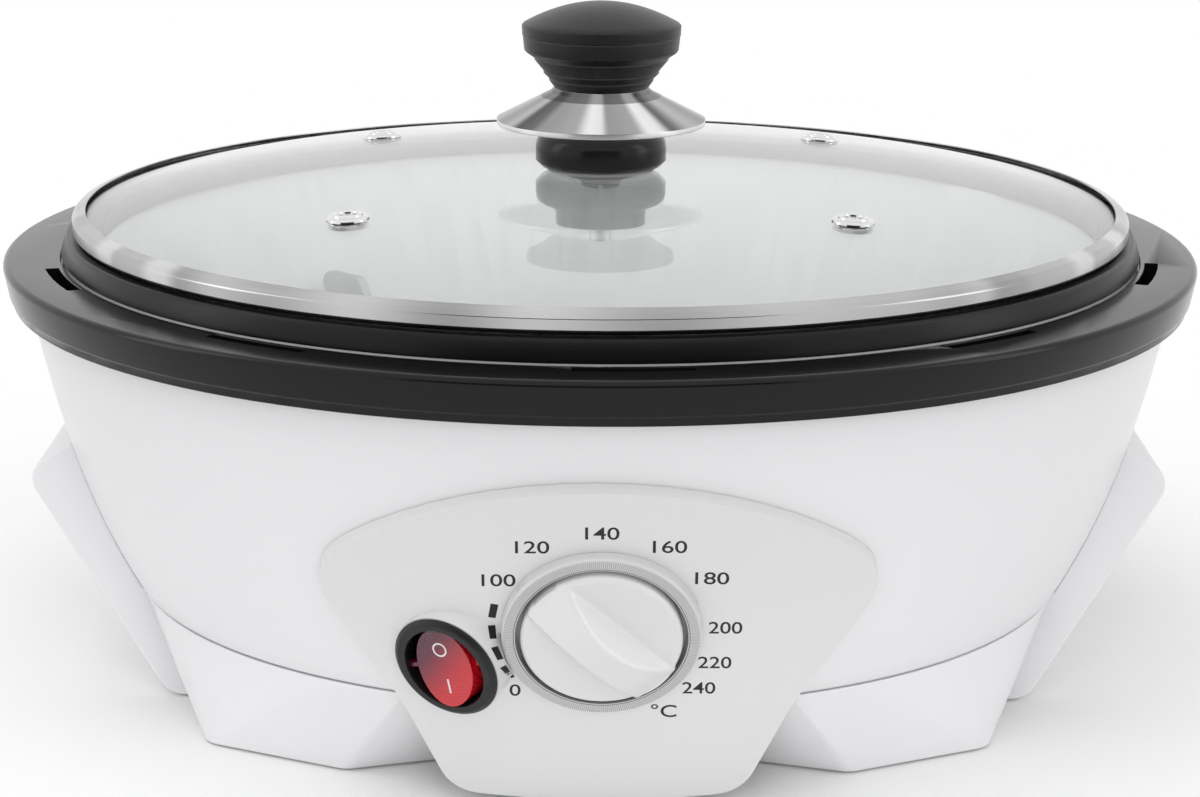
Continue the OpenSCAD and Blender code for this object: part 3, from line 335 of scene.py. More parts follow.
def noise(tree, vector, scale, detail=2.0, roughness=0.5):
    """Soft noise at a scale."""
    node = tree.nodes.new("ShaderNodeTexNoise")
    settings = {"Vector": vector, "Scale": scale, "Detail": detail, "Roughness": roughness}
    for name, setting in settings.items():
        feed(tree, node.inputs[name], setting)
    return node.outputs["Fac"]


def axes(tree, vector):
    """The X, Y and Z of a vector."""
    split = tree.nodes.new("ShaderNodeSeparateXYZ")
    tree.links.new(vector, split.inputs[0])
    return split.outputs


def polar(tree, vector):
    """Radius and angle of a vector about its Z axis."""
    x, y, _ = axes(tree, vector)
    squares = [math_node(tree, "MULTIPLY", part, part) for part in (x, y)]
    radius = math_node(tree, "SQRT", math_node(tree, "ADD", *squares))
    return radius, math_node(tree, "ARCTAN2", y, x)


def moulded_grain_group():
    """Fine pitted grain of moulded plastic, with faint clouding of its tone."""
    group, given, made = new_group(
        "Moulded Grain", {"Grain": 900.0, "Clouding": 0.03}, ("Height", "Tone")
    )
    vector = given["Vector"]
    pits = noise(group, vector, given["Grain"], 3.0, 0.6)
    clouds = noise(group, vector, 14.0, 3.0, 0.55)
    low = math_node(group, "SUBTRACT", 1.0, given["Clouding"])
    group.links.new(pits, made["Height"])
    group.links.new(remap(group, clouds, low, 1.0), made["Tone"])
    return group


def turned_lines_group():
    """Fine rings that a lathe or a mould leaves round Z."""
    group, given, made = new_group(
        "Turned Lines", {"Lines": 4000.0, "Depth": 0.2}, ("Height", "Tone")
    )
    radius, _ = polar(group, given["Vector"])
    run = math_node(group, "ADD", radius, axes(group, given["Vector"])[2])
    place = group.nodes.new("ShaderNodeCombineXYZ")
    group.links.new(math_node(group, "MULTIPLY", run, given["Lines"]), place.inputs[0])
    rings = noise(group, place.outputs[0], 1.0, 2.0, 0.7)
    low = math_node(group, "SUBTRACT", 1.0, given["Depth"])
    group.links.new(rings, made["Height"])
    group.links.new(remap(group, rings, low, 1.0), made["Tone"])
    return group


def painted_reflection_wedges_group():
    """Painted reflection: light and dark wedges of painted sheen on spun steel, fixed to the
    metal, round Z.
    """
    group, given, made = new_group("Painted Reflection Wedges", {"Turns": 1.0, "Darkest": 0.3}, ("Tone",))
    _, angle = polar(group, given["Vector"])
    share = math_node(group, "DIVIDE", math_node(group, "ADD", angle, math.pi), math.tau)
    share = math_node(group, "FRACT", math_node(group, "MULTIPLY", share, given["Turns"]))
    ramp = group.nodes.new("ShaderNodeValToRGB")
    ramp.color_ramp.interpolation = "EASE"
    # Painted reflection: these stops are light and dark wedges that stand in for the studio's
    # lights mirrored in the steel.
    wedges = (
        (0.05, 0.30), (0.085, 0.5), (0.108, 0.06), (0.13, 0.12), (0.155, 0.34), (0.205, 0.42),
        (0.232, 0.95), (0.248, 0.9), (0.262, 0.35), (0.305, 0.40), (0.328, 0.95), (0.345, 0.9),
        (0.368, 0.12), (0.41, 0.5), (0.47, 0.25), (0.55, 0.7), (0.63, 0.12), (0.70, 0.75),
        (0.80, 0.2), (0.9, 0.6),
    )
    elements = ramp.color_ramp.elements
    for end in elements:
        end.color = (0.45, 0.45, 0.45, 1)
    for place, tone in wedges:
        elements.new(place).color = (tone, tone, tone, 1)
    group.links.new(share, ramp.inputs[0])
    tone = remap(group, ramp.outputs[0], given["Darkest"], 1.0)
    group.links.new(tone, made["Tone"])
    return group


def radial_knurl_group():
    """Fine grooves that run outwards from Z in a band, and the dark circles beside it."""
    group, given, made = new_group(
        "Radial Knurl", {"Grooves": 300.0, "Inner": 0.0194, "Outer": 0.0215}, ("Height", "Circles")
    )
    radius, angle = polar(group, given["Vector"])
    wave = math_node(group, "SINE", math_node(group, "MULTIPLY", angle, given["Grooves"]))
    grooves = math_node(group, "MULTIPLY_ADD", wave, 0.5, 0.5)
    inside = math_node(group, "GREATER_THAN", radius, given["Inner"])
    outside = math_node(group, "LESS_THAN", radius, given["Outer"])
    band = math_node(group, "MULTIPLY", inside, outside)
    group.links.new(math_node(group, "MULTIPLY", grooves, band), made["Height"])
    past_inner = math_node(group, "SUBTRACT", radius, given["Inner"])
    half_line = 0.11 * MM
    circles = 0.0
    for place in (-0.5, -0.1, 2.75):
        off = math_node(group, "SUBTRACT", past_inner, place * MM)
        line = math_node(group, "LESS_THAN", math_node(group, "ABSOLUTE", off), half_line)
        circles = math_node(group, "MAXIMUM", circles, line)
    group.links.new(circles, made["Circles"])
    return group


GROUPS = {}


def group_node(tree, maker, vector, **values):
    """Places a shared group in a material, with its own values."""
    if maker not in GROUPS:
        GROUPS[maker] = maker()
    node = tree.nodes.new("ShaderNodeGroup")
    node.node_tree = GROUPS[maker]
    tree.links.new(vector, node.inputs["Vector"])
    for name, value in values.items():
        node.inputs[name.replace("_", " ")].default_value = value
    return node


def new_material(name, base, roughness, metallic=0.0, **sockets):
    """A material with its tree, its one Principled shader and its object coordinates."""
    material = bpy.data.materials.new(name)
    material.use_nodes = True
    material.diffuse_color = (*base, 1)
    tree = material.node_tree
    shader = tree.nodes["Principled BSDF"]
    shader.inputs["Base Color"].default_value = (*base, 1)
    shader.inputs["Roughness"].default_value = roughness
    shader.inputs["Metallic"].default_value = metallic
    for socket, value in sockets.items():
        shader.inputs[socket.replace("_", " ")].default_value = value
    coords = tree.nodes.new("ShaderNodeTexCoord").outputs["Object"]
    return material, tree, shader, coords


def tint(tree, shader, base, tone):
    """Multiplies a base colour, or the socket that gives it, by a tone."""
    mix = tree.nodes.new("ShaderNodeMix")
    mix.data_type = "RGBA"
    mix.blend_type = "MULTIPLY"
    mix.inputs["Factor"].default_value = 1.0
    if isinstance(base, tuple):
        mix.inputs["A"].default_value = (*base, 1)
    else:
        tree.links.new(base, mix.inputs["A"])
    tree.links.new(tone, mix.inputs["B"])
    tree.links.new(mix.outputs["Result"], shader.inputs["Base Color"])


def vary_roughness(tree, shader, height, low, high):
    """Spreads the roughness from low to high over a surface's grain."""
    tree.links.new(remap(tree, height, low, high), shader.inputs["Roughness"])


def bump(tree, shader, height, strength, distance):
    """Raises a surface's normals by its grain."""
    node = tree.nodes.new("ShaderNodeBump")
    node.inputs["Strength"].default_value = strength
    node.inputs["Distance"].default_value = distance
    tree.links.new(height, node.inputs["Height"])
    tree.links.new(node.outputs[0], shader.inputs["Normal"])


def local_coords(tree, coords, place):
    """Object coordinates turned into those of a placed frame."""
    mapping = tree.nodes.new("ShaderNodeMapping")
    mapping.vector_type = "TEXTURE"
    mapping.inputs["Location"].default_value = place.to_translation()
    mapping.inputs["Rotation"].default_value = place.to_euler()
    tree.links.new(coords, mapping.inputs["Vector"])
    return mapping.outputs[0]


# --- Finishes of this machine


def moulded_plastic(
    name, base, roughness, grain=900.0, depth=0.02, clouding=0.02, coat=0.0, gloss=0.5
):
    """Moulded plastic; its grain's depth is in millimetres."""
    material, tree, shader, coords = new_material(
        name, base, roughness, Coat_Weight=coat, Coat_Roughness=0.12, Specular_IOR_Level=gloss
    )
    pits = group_node(tree, moulded_grain_group, coords, Grain=grain, Clouding=clouding).outputs
    tint(tree, shader, base, pits["Tone"])
    vary_roughness(tree, shader, pits["Height"], roughness - 0.04, roughness + 0.04)
    bump(tree, shader, pits["Height"], 0.35, depth * MM)
    return material


def turned_plastic(name, base, roughness):
    """Black plastic with the fine rings of its mould."""
    material, tree, shader, coords = new_material(name, base, roughness, Specular_IOR_Level=0.22)
    rings = group_node(tree, turned_lines_group, coords, Lines=3500.0, Depth=0.45).outputs
    tint(tree, shader, base, rings["Tone"])
    vary_roughness(tree, shader, rings["Height"], roughness - 0.1, roughness + 0.12)
    bump(tree, shader, rings["Height"], 0.5, 0.05 * MM)
    return material


def steel_with_painted_sheen(name, base, roughness, lines, turns, darkest, highlight_lip_z=0.0, shaded_neck_z=1.0):
    """Steel with painted reflection wedges, a painted highlight on its lip below the lip height
    and painted shade on its neck above the neck height.
    """
    material, tree, shader, coords = new_material(name, base, roughness, 1.0)
    rings = group_node(tree, turned_lines_group, coords, Lines=lines, Depth=0.12).outputs
    sheen = group_node(tree, painted_reflection_wedges_group, coords, Turns=turns, Darkest=darkest)
    z = axes(tree, coords)[2]
    # Painted highlight: the rolled lip, below its height, is made bright in the colour.
    lip = math_node(tree, "MULTIPLY", math_node(tree, "LESS_THAN", z, highlight_lip_z), 0.92)
    wedges = math_node(tree, "MAXIMUM", sheen.outputs["Tone"], lip)
    # Painted shade: the neck under the knob, above its height, is darkened in the colour.
    neck = remap(tree, math_node(tree, "GREATER_THAN", z, shaded_neck_z), 1.0, 0.4)
    wedges = math_node(tree, "MULTIPLY", wedges, neck)
    tint(tree, shader, base, math_node(tree, "MULTIPLY", rings["Tone"], wedges))
    vary_roughness(tree, shader, rings["Height"], roughness - 0.06, roughness + 0.08)
    bump(tree, shader, rings["Height"], 0.25, 0.01 * MM)
    return material


def plain_metal(name, base, roughness, scale=220.0, depth=0.01):
    """Rolled, cast or ground metal with a faint grain, whose depth is in millimetres."""
    material, tree, shader, coords = new_material(name, base, roughness, 1.0)
    grain = group_node(tree, moulded_grain_group, coords, Grain=scale, Clouding=0.12).outputs
    tint(tree, shader, base, grain["Tone"])
    vary_roughness(tree, shader, grain["Height"], roughness - 0.08, roughness + 0.1)
    bump(tree, shader, grain["Height"], 0.3, depth * MM)
    return material


def lid_glass(name, base):
    """Clear tempered glass; lamps reach what is under it."""
    material, tree, shader, _ = new_material(name, base, 0.0, Transmission_Weight=1.0, IOR=1.46)
    clear = tree.nodes.new("ShaderNodeBsdfTransparent")
    clear.inputs["Color"].default_value = (0.93, 0.94, 0.94, 1)
    path = tree.nodes.new("ShaderNodeLightPath")
    mix = tree.nodes.new("ShaderNodeMixShader")
    tree.links.new(path.outputs["Is Shadow Ray"], mix.inputs[0])
    tree.links.new(shader.outputs[0], mix.inputs[1])
    tree.links.new(clear.outputs[0], mix.inputs[2])
    tree.links.new(mix.outputs[0], tree.nodes["Material Output"].inputs["Surface"])
    return material


def knurled_clear(name):
    """Clear plastic ring with a band of fine radial grooves under its face."""
    base = (0.62, 0.62, 0.62)
    material, tree, shader, coords = new_material(name, base, 0.16, Coat_Weight=0.5)
    local = local_coords(tree, coords, DIAL_FRAME)
    knurl = group_node(tree, radial_knurl_group, local).outputs
    grooves = remap(tree, knurl["Height"], 1.0, 0.55)
    circles = remap(tree, knurl["Circles"], 1.0, 0.25)
    tint(tree, shader, base, math_node(tree, "MULTIPLY", grooves, circles))
    bump(tree, shader, knurl["Height"], 0.6, 0.1 * MM)
    return material


def ribbed_red_painted_glow(name, base, dark):
    """Translucent red plastic with a painted glow at its foot and painted shade deep at its top,
    ribbed under its face.
    """
    material, tree, shader, coords = new_material(name, base, 0.12, Coat_Weight=0.7)
    x, y, _ = axes(tree, local_coords(tree, coords, ROCKER_FRAME))
    rib_pitch = 0.56 * MM
    waves = [
        math_node(tree, "SINE", math_node(tree, "MULTIPLY", side, math.tau / rib_pitch))
        for side in (x, y)
    ]
    ribs = remap(tree, math_node(tree, "MAXIMUM", *waves), 1.0, 0.5, 0.1)
    # Painted glow and shade: the red runs from bright at the foot to deep at the top, across the
    # face.
    up = math_node(tree, "MULTIPLY", y, 0.9)
    rise = math_node(tree, "SUBTRACT", up, math_node(tree, "MULTIPLY", x, 0.8))
    mix = tree.nodes.new("ShaderNodeMix")
    mix.data_type = "RGBA"
    mix.inputs["A"].default_value = (*base, 1)
    mix.inputs["B"].default_value = (*dark, 1)
    fade = remap(tree, rise, 0.0, 1.0, -7 * MM, 8 * MM, smooth=True)
    tree.links.new(fade, mix.inputs["Factor"])
    tint(tree, shader, mix.outputs["Result"], ribs)
    return material


def ink(name, base):
    """Matt printing ink."""
    material, tree, shader, coords = new_material(name, base, 0.5)
    grain = group_node(tree, moulded_grain_group, coords, Grain=4000.0, Clouding=0.15)
    tint(tree, shader, base, grain.outputs["Tone"])
    return material


# --- Operators: lid

GLASS_T = 3.4 * MM
DOME_R, DOME_Z, DOME_H, DOME_POWER = 131.8 * MM, 119.7 * MM, 9 * MM, 3.5
GLASS_HOLE_R = 3.6 * MM
EYELET_RING_R = 84 * MM


def dome_height(r):
    """Height of the glass's upper face at a radius."""
    return DOME_Z + DOME_H * (1 - (r / DOME_R) ** DOME_POWER)


EYELET_LEAN = math.atan(
    DOME_POWER * DOME_H / DOME_R * (EYELET_RING_R / DOME_R) ** (DOME_POWER - 1)
)
EYELETS = [
    Matrix.Rotation(math.radians(45 + 90 * i), 4, "Z")
    @ Matrix.Translation((EYELET_RING_R, 0, dome_height(EYELET_RING_R)))
    @ Matrix.Rotation(EYELET_LEAN, 4, "Y")
    for i in range(4)
]


class ROASTER_OT_lid_glass(bpy.types.Operator):
    """Smooth the domed glass and make it clear"""

    bl_idname = "roaster.lid_glass"
    bl_label = "Lid glass"

    def execute(self, context):
        lid = context.scene.roaster_lid
        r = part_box("glass_lid")[1].x
        rings = 44
        top = [(r * k / rings, dome_height(r * k / rings)) for k in range(rings + 1)]
        bm = spun(top + [(q, h - GLASS_T) for q, h in reversed(top)], 192)
        for place in [Matrix()] + EYELETS:
            self.drill(bm, place.to_translation(), GLASS_HOLE_R)
        material = lid_glass("lid glass", lid.glass_tint)
        replace_node(bm, "glass_domed", "glass_lid", material, 40)
        return {"FINISHED"}

    def drill(self, bm, centre, radius):
        """Opens a round hole down through the two faces of the glass."""

        def off(co):
            return Vector((co.x - centre.x, co.y - centre.y, 0))

        gone = [
            face
            for face in bm.faces
            if off(face.calc_center_median()).length < radius + 0.6 * MM
            or any(off(vert.co).length < radius * 0.6 for vert in face.verts)
        ]
        bmesh.ops.delete(bm, geom=gone, context="FACES")
        edges = [e for e in bm.edges if e.is_boundary]
        for vert in {v for e in edges for v in e.verts}:
            rim = off(vert.co).normalized() * radius
            slope = vert.co.z - dome_height(math.hypot(vert.co.x, vert.co.y))
            vert.co.x, vert.co.y = centre.x + rim.x, centre.y + rim.y
            vert.co.z = dome_height(math.hypot(vert.co.x, vert.co.y)) + slope
        bmesh.ops.bridge_loops(bm, edges=edges)


class ROASTER_OT_lid_metal(bpy.types.Operator):
    """Roll the lid's steel band, spin the skirt and press the vent eyelets"""

    bl_idname = "roaster.lid_metal"
    bl_label = "Lid metal"

    def execute(self, context):
        lid = context.scene.roaster_lid
        # Both steels carry painted reflection wedges; the skirt's steel also has a painted
        # highlight on its lip and painted shade on its neck under the knob.
        band = steel_with_painted_sheen(
            "band steel", tuple(lid.steel), 0.2, lines=2500.0, turns=3.0, darkest=0.45
        )
        smooth_copy("lid_band", band, bevel=0.4 * MM, smooth_angle=30, sharp_from=25)
        self.skirt(lid, steel_with_painted_sheen(
            "skirt steel", (0.93, 0.93, 0.94), 0.28, lines=6000.0, turns=1.0, darkest=0.02,
            highlight_lip_z=141.8 * MM, shaded_neck_z=147.6 * MM,
        ))
        self.eyelets(plain_metal("eyelet steel", (0.8, 0.8, 0.81), 0.12, scale=300.0))
        return {"FINISHED"}

    def skirt(self, lid, material):
        """Spins the skirt: a rolled lip, a cone and a flat neck round the knob's stem."""
        low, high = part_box("knob_skirt")
        r, z0, z1 = high.x, low.z, high.z
        neck, hole, t = 12.0 * MM, 7.3 * MM, 0.8 * MM
        lip = z0 + 1.6 * MM
        outline = rounded(
            [(r - 0.2 * MM, z0), (r, z0 + 0.25 * MM), (r, lip - 0.2 * MM), (r - 0.45 * MM, lip),
             (neck + 0.9 * MM, z1 - 0.9 * MM), (neck, z1), (hole, z1), (hole, z1 - t),
             (neck - t, z1 - 1.5 * t), (r - t, lip - t), (r - t, z0)],
            [q * MM for q in (0.08, 0.08, 0.08, 0.12, 0.6, 0, 0, 0, 0, 0.2, 0)],
        )
        bm = spun(outline, lid.knob_lines)
        piece = replace_node(bm, "skirt_spun", "knob_skirt", material, 40)
        piece.visible_glossy = False

    def eyelets(self, material):
        """Spins each eyelet at the origin and sets it on the dome."""
        whole = bmesh.new()
        outline = rounded(
            [(2.2, 0.6), (2.4, 1.35), (3.1, 1.75), (3.7, 1.45), (3.85, 1.0), (4.5, 1.05),
             (5.15, 0.55), (5.2, 0.1), (3.0, 0.1), (3.0, -3.5), (4.6, -3.5), (4.6, -4.2),
             (2.2, -4.2)],
            [0, 0.3, 0.5, 0.3, 0.2, 0.4, 0.2, 0, 0, 0, 0, 0, 0],
            3,
        )
        for place in EYELETS:
            ring = spun([(r * MM, z * MM) for r, z in outline], 48)
            set_down(ring, place)
            pour(ring, whole)
        replace_node(whole, "eyelets_pressed", "vent_eyelets", material, 50)


class ROASTER_OT_lid_knob(bpy.types.Operator):
    """Mould the lid's knob, its collar and what is screwed under the glass"""

    bl_idname = "roaster.lid_knob"
    bl_label = "Lid knob"

    def execute(self, context):
        lid = context.scene.roaster_lid
        self.knob(lid, moulded_plastic(
            "knob black", tuple(lid.knob_black), 0.36, grain=2200.0, depth=0.3, clouding=0.3,
            gloss=0.4,
        ))
        collar = moulded_plastic(
            "collar black", (0.012, 0.012, 0.012), 0.2, grain=300.0, depth=0.004, gloss=0.25
        )
        smooth_copy("knob_collar", collar, bevel=0.3 * MM, smooth_angle=50, sharp_from=50)
        dress("knob_seal", moulded_plastic("seal silicone", (0.42, 0.42, 0.42), 0.6, grain=1200.0))
        return {"FINISHED"}

    def knob(self, lid, material):
        """Spins the knob's stepped side and domed top, and its stem down through the glass."""
        low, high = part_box("lid_knob")
        foot_z = 149.4 * MM
        edge_z = foot_z + 16.0 * MM
        r = high.x
        edge = 0.5 * MM
        lens = high.z - edge_z - edge
        dome = [(q * (r - edge), edge_z + edge + lens * (1 - q * q))
                for q in (1.0, 0.93, 0.86, 0.78, 0.7, 0.6, 0.5, 0.4, 0.3, 0.2, 0.1)]
        side = [(0, 0), (11.5, 0), (11.7, 0.2), (13.2, 2.3), (13.0, 2.6), (14.6, 4.1),
                (14.35, 4.4), (16.9, 7.5), (16.7, 7.8), (19.0, 9.4), (19.4, 9.9),
                (19.75, 13.0), (19.5, 13.3), (19.9, 13.6), (20.0, 15.5)]
        side = [(q * MM, foot_z + h * MM) for q, h in side] + [(r, edge_z)]
        radii = [0] + [0.12 * MM] * (len(side) - 2) + [0.3 * MM] + [0] * (len(dome) + 1)
        bm = spun(rounded(side + dome + [(0, high.z)], radii, 2), lid.knob_lines)
        bore, outer, top = 3.05 * MM, 7.0 * MM, foot_z + edge
        pour(spun([(bore, low.z), (outer, low.z), (outer, top), (bore, top)], 48), bm)
        piece = replace_node(bm, "knob_moulded", "lid_knob", material, 25)
        piece.visible_glossy = False


# --- Operators: rim, pan, body


class ROASTER_OT_rim(bpy.types.Operator):
    """Round the rim's edges and turn fine rings on the seat"""

    bl_idname = "roaster.rim"
    bl_label = "Rim and seat"

    def execute(self, context):
        black = tuple(context.scene.roaster_body.rim_black)
        rim = moulded_plastic(
            "rim black", black, 0.16, grain=500.0, depth=0.015, clouding=0.25, gloss=0.25
        )
        seat = turned_plastic("seat black", black, 0.3)
        smooth_copy("rim_ring", rim, bevel=0.35 * MM, smooth_angle=40)
        smooth_copy("seat_ring", seat, bevel=0.3 * MM, smooth_angle=40, sharp_from=25)
        return {"FINISHED"}


class ROASTER_OT_pan(bpy.types.Operator):
    """Finish the pan, its bush and the stirrer"""

    bl_idname = "roaster.pan"
    bl_label = "Pan and stirrer"

    def execute(self, context):
        grey = tuple(context.scene.roaster_body.pan_grey)
        material, tree, shader, coords = new_material("pan metal", grey, 0.4, 0.3)
        rings = group_node(tree, turned_lines_group, coords, Lines=1800.0, Depth=0.08).outputs
        tint(tree, shader, grey, rings["Tone"])
        bump(tree, shader, rings["Height"], 0.25, 0.02 * MM)
        smooth_copy("roasting_pan", material, smooth_angle=45)
        stirrer = plain_metal("stirrer metal", (0.66, 0.66, 0.67), 0.4, scale=500.0, depth=0.04)
        nut = plain_metal("nut steel", (0.7, 0.7, 0.71), 0.25)
        smooth_copy("stirrer", stirrer, bevel=0.4 * MM, segments=2)
        smooth_copy(
            "stirrer_nut", nut, bevel=0.3 * MM, segments=2, smooth_angle=30, sharp_from=30
        )
        dress("pan_bush", plain_metal("bush bronze", (0.55, 0.36, 0.18), 0.35))
        return {"FINISHED"}


class ROASTER_OT_body(bpy.types.Operator):
    """Round the moulded edges of the bowl, base, legs, handles and rear cover"""

    bl_idname = "roaster.body"
    bl_label = "White body"

    def execute(self, context):
        body = context.scene.roaster_body
        white = tuple(body.white)
        glossy = moulded_plastic(
            "body white", white, 0.3, grain=700.0, depth=0.01, clouding=0.015, coat=0.15
        )
        satin = moulded_plastic(
            "lobe white", white, 0.34, grain=700.0, depth=0.012, clouding=0.015, coat=0.1
        )
        for shell, bevel in (("outer_bowl", 0.3), ("base_ring", 0.4)):
            smooth_copy(
                shell, glossy, bevel=bevel * MM, segments=2, smooth_angle=30, sharp_from=35
            )
        for leg in ("front_left_leg", "front_right_leg", "rear_left_leg", "rear_right_leg"):
            smooth_copy(leg, glossy, bevel=body.edge, smooth_angle=40, sharp_from=30)
        for lobe in ("left_handle", "right_handle", "rear_cover"):
            smooth_copy(lobe, satin, bevel=body.edge, smooth_angle=40, sharp_from=35)
        feet = moulded_plastic("feet rubber", (0.03, 0.03, 0.03), 0.75, grain=1500.0, depth=0.05)
        gland = moulded_plastic("gland black", (0.025, 0.025, 0.025), 0.45)
        dress("base_cover", moulded_plastic("cover grey", (0.55, 0.55, 0.56), 0.5))
        dress("rubber_feet", feet)
        smooth_copy("cord_gland", gland, bevel=0.4 * MM)
        return {"FINISHED"}


# --- Operators: front


class ROASTER_OT_panel(bpy.types.Operator):
    """Round the front panel's edges"""

    bl_idname = "roaster.panel"
    bl_label = "Control panel"

    def execute(self, context):
        white = tuple(context.scene.roaster_front.panel)
        # The panel's white is darker than the body's white: painted shade.
        panel = moulded_plastic(
            "panel white", white, 0.3, grain=800.0, depth=0.01, clouding=0.012, coat=0.2
        )
        smooth_copy("control_panel", panel, bevel=1.1 * MM, segments=4, smooth_angle=40)
        return {"FINISHED"}


# Where the marks are read from, in the panel's frame, and how far the face lies under it
READER = Vector((0, 495.4 * MM, 523.9 * MM))
FACE_SAG = 1.46 * MM
MARK_LIFT = 0.03 * MM


def lay_on_panel(bm):
    """Prints a flat bmesh in the panel's frame on the moulded face, as read from the front."""
    face = merged_node("control_panel")
    set_down(face, PANEL_FRAME.inverted())
    tree = BVHTree.FromBMesh(face)
    for vert in bm.verts:
        sight = (Vector((vert.co.x, vert.co.y, -FACE_SAG)) - READER).normalized()
        hit = tree.ray_cast(READER, sight)[0]
        vert.co = hit - sight * (MARK_LIFT if vert.co.z > 0 else -MARK_LIFT)
    face.free()
    set_down(bm, PANEL_FRAME)


def lettering(text, height, width):
    """A bmesh of one label, centred, with its glyphs fitted to a height and a width."""
    curve = bpy.data.curves.new(text, "FONT")
    curve.body = text
    curve.extrude = 0.02
    curve.offset = 0.007
    holder = bpy.data.objects.new(text, curve)
    bpy.context.scene.collection.objects.link(holder)
    mesh = bpy.data.meshes.new_from_object(
        holder.evaluated_get(bpy.context.evaluated_depsgraph_get())
    )
    bpy.data.objects.remove(holder)
    bm = bmesh.new()
    bm.from_mesh(mesh)
    bmesh.ops.remove_doubles(bm, verts=bm.verts, dist=1e-5)
    xs = [v.co.x for v in bm.verts]
    ys = [v.co.y for v in bm.verts]
    span = Vector((max(xs) - min(xs), max(ys) - min(ys)))
    middle = Vector(((max(xs) + min(xs)) / 2, (max(ys) + min(ys)) / 2, 0))
    bmesh.ops.translate(bm, verts=bm.verts, vec=-middle)
    bmesh.ops.scale(bm, verts=bm.verts, vec=(width / span.x, height / span.y, 1))
    return bm


class ROASTER_OT_dial_marks(bpy.types.Operator):
    """Print the temperatures and the dashes round the dial"""

    bl_idname = "roaster.dial_marks"
    bl_label = "Dial marks"

    # Each number's angle in degrees and radius in millimetres
    NUMBERS = (
        ("0", -134.6, 27.0), ("100", -60.6, 25.8), ("120", -34.6, 26.6), ("140", 0.0, 25.8),
        ("160", 33.3, 26.6), ("180", 60.4, 27.5), ("200", 90.9, 27.2), ("220", 112.7, 27.2),
        ("240", 129.6, 28.2),
    )
    # Each dash's angle and radius, and its width at both ends
    DASHES = (
        (-80.4, 24.1, 1.75, 1.65), (-94.8, 24.1, 1.65, 1.5), (-109.5, 24.4, 1.6, 1.4),
        (-123.3, 24.9, 1.5, 1.2),
    )

    def execute(self, context):
        front = context.scene.roaster_front
        whole = bmesh.new()
        for text, angle, radius in self.NUMBERS:
            label = lettering(text, front.digit_h, front.digit_w * len(text))
            self.add(whole, label, angle, radius)
        self.add(whole, lettering("°C", 3.84 * MM, 5.75 * MM), 150.5, 28.5)
        for angle, radius, near, far in self.DASHES:
            self.add(whole, self.dash(near, far), angle, radius, upright=False)
        lay_on_panel(whole)
        black = ink("panel ink", tuple(front.ink))
        piece = finish_piece(whole, "dial_numbers", "control_panel", black, 30)
        piece.data.validate()
        return {"FINISHED"}

    def dash(self, near, far):
        """A short bar that follows the ring and tapers a little downwards."""
        long, thick = 3.9 * MM, 20 * MM
        bm = bmesh.new()
        bmesh.ops.create_cube(bm, size=1)
        bmesh.ops.subdivide_edges(bm, edges=bm.edges, cuts=5, use_grid_fill=True)
        for vert in bm.verts:
            wide = far + (near - far) * (vert.co.y + 0.5)
            vert.co = Vector((vert.co.x * wide * MM, vert.co.y * long, vert.co.z * thick))
        return bm

    def add(self, whole, bm, angle, radius, upright=True):
        """Sets a mark at its angle and radius in millimetres round the dial."""
        turn = math.radians(angle)
        out = Vector((math.sin(turn), math.cos(turn), 0)) * radius * MM
        if not upright:
            lying = Matrix.Rotation(-turn - math.pi / 2, 3, "Z")
            bmesh.ops.rotate(bm, verts=bm.verts, cent=ORIGIN, matrix=lying)
        bmesh.ops.translate(bm, verts=bm.verts, vec=Vector((DIAL_X, DIAL_V, 0)) + out)
        pour(bm, whole)


class ROASTER_OT_dial(bpy.types.Operator):
    """Turn the clear ring and sculpt the control knob with its arched grip"""

    bl_idname = "roaster.dial"
    bl_label = "Dial"

    def execute(self, context):
        front = context.scene.roaster_front
        smooth_copy("dial_ring", knurled_clear("ring clear"), bevel=0.3 * MM, smooth_angle=40)
        # The dial's white is darker than the body's white: painted shade.
        self.knob(moulded_plastic(
            "dial white", tuple(front.dial_white), 0.22, grain=700.0, depth=0.004, clouding=0.01,
            coat=0.4,
        ))
        return {"FINISHED"}

    def knob(self, material):
        """Lifts a fine disc to the knob's height, with a wall down to its foot."""
        r, rings = 17.8 * MM, 58
        bm = flat_disc([r * k / rings for k in range(rings + 1)], 240, MERGE)
        for vert in bm.verts:
            vert.co.z = self.height(vert.co.x, vert.co.y, r)
        rim = [e for e in bm.edges if e.is_boundary]
        walls = bmesh.ops.extrude_edge_only(bm, edges=rim)["geom"]
        for vert in (g for g in walls if isinstance(g, bmesh.types.BMVert)):
            vert.co.z = 0
        close_foot(bm)
        gap = Matrix.Translation((0, 0, 0.4 * MM))
        place = DIAL_FRAME @ gap @ Matrix.Rotation(DIAL_POINT, 4, "Z")
        set_down(bm, place)
        replace_node(bm, "knob_sculpted", "control_knob", material, 60)

    def height(self, x, y, r):
        """Height of the knob's top: a disc with an arched bar across it, along Y."""
        base, rise, half, steep = 3.8 * MM, 7.4 * MM, 6.1 * MM, 2.6
        from_middle = math.hypot(x, y) / r
        disc = base - 0.9 * MM * max(0.0, (from_middle - 0.94) / 0.06) ** 2
        crest = base + rise * max(0.0, 1 - (y / (0.97 * r)) ** 2) - 0.035 * abs(x)
        wall = base + (half - abs(x)) * steep
        soft = 1.0 * MM
        bar = min(crest, wall) - max(0.0, soft - abs(crest - wall)) ** 2 / (4 * soft)
        fillet = max(0.0, soft - abs(bar - disc)) ** 2 / (4 * soft)
        return max(bar, disc) + fillet * (1 - from_middle**6)


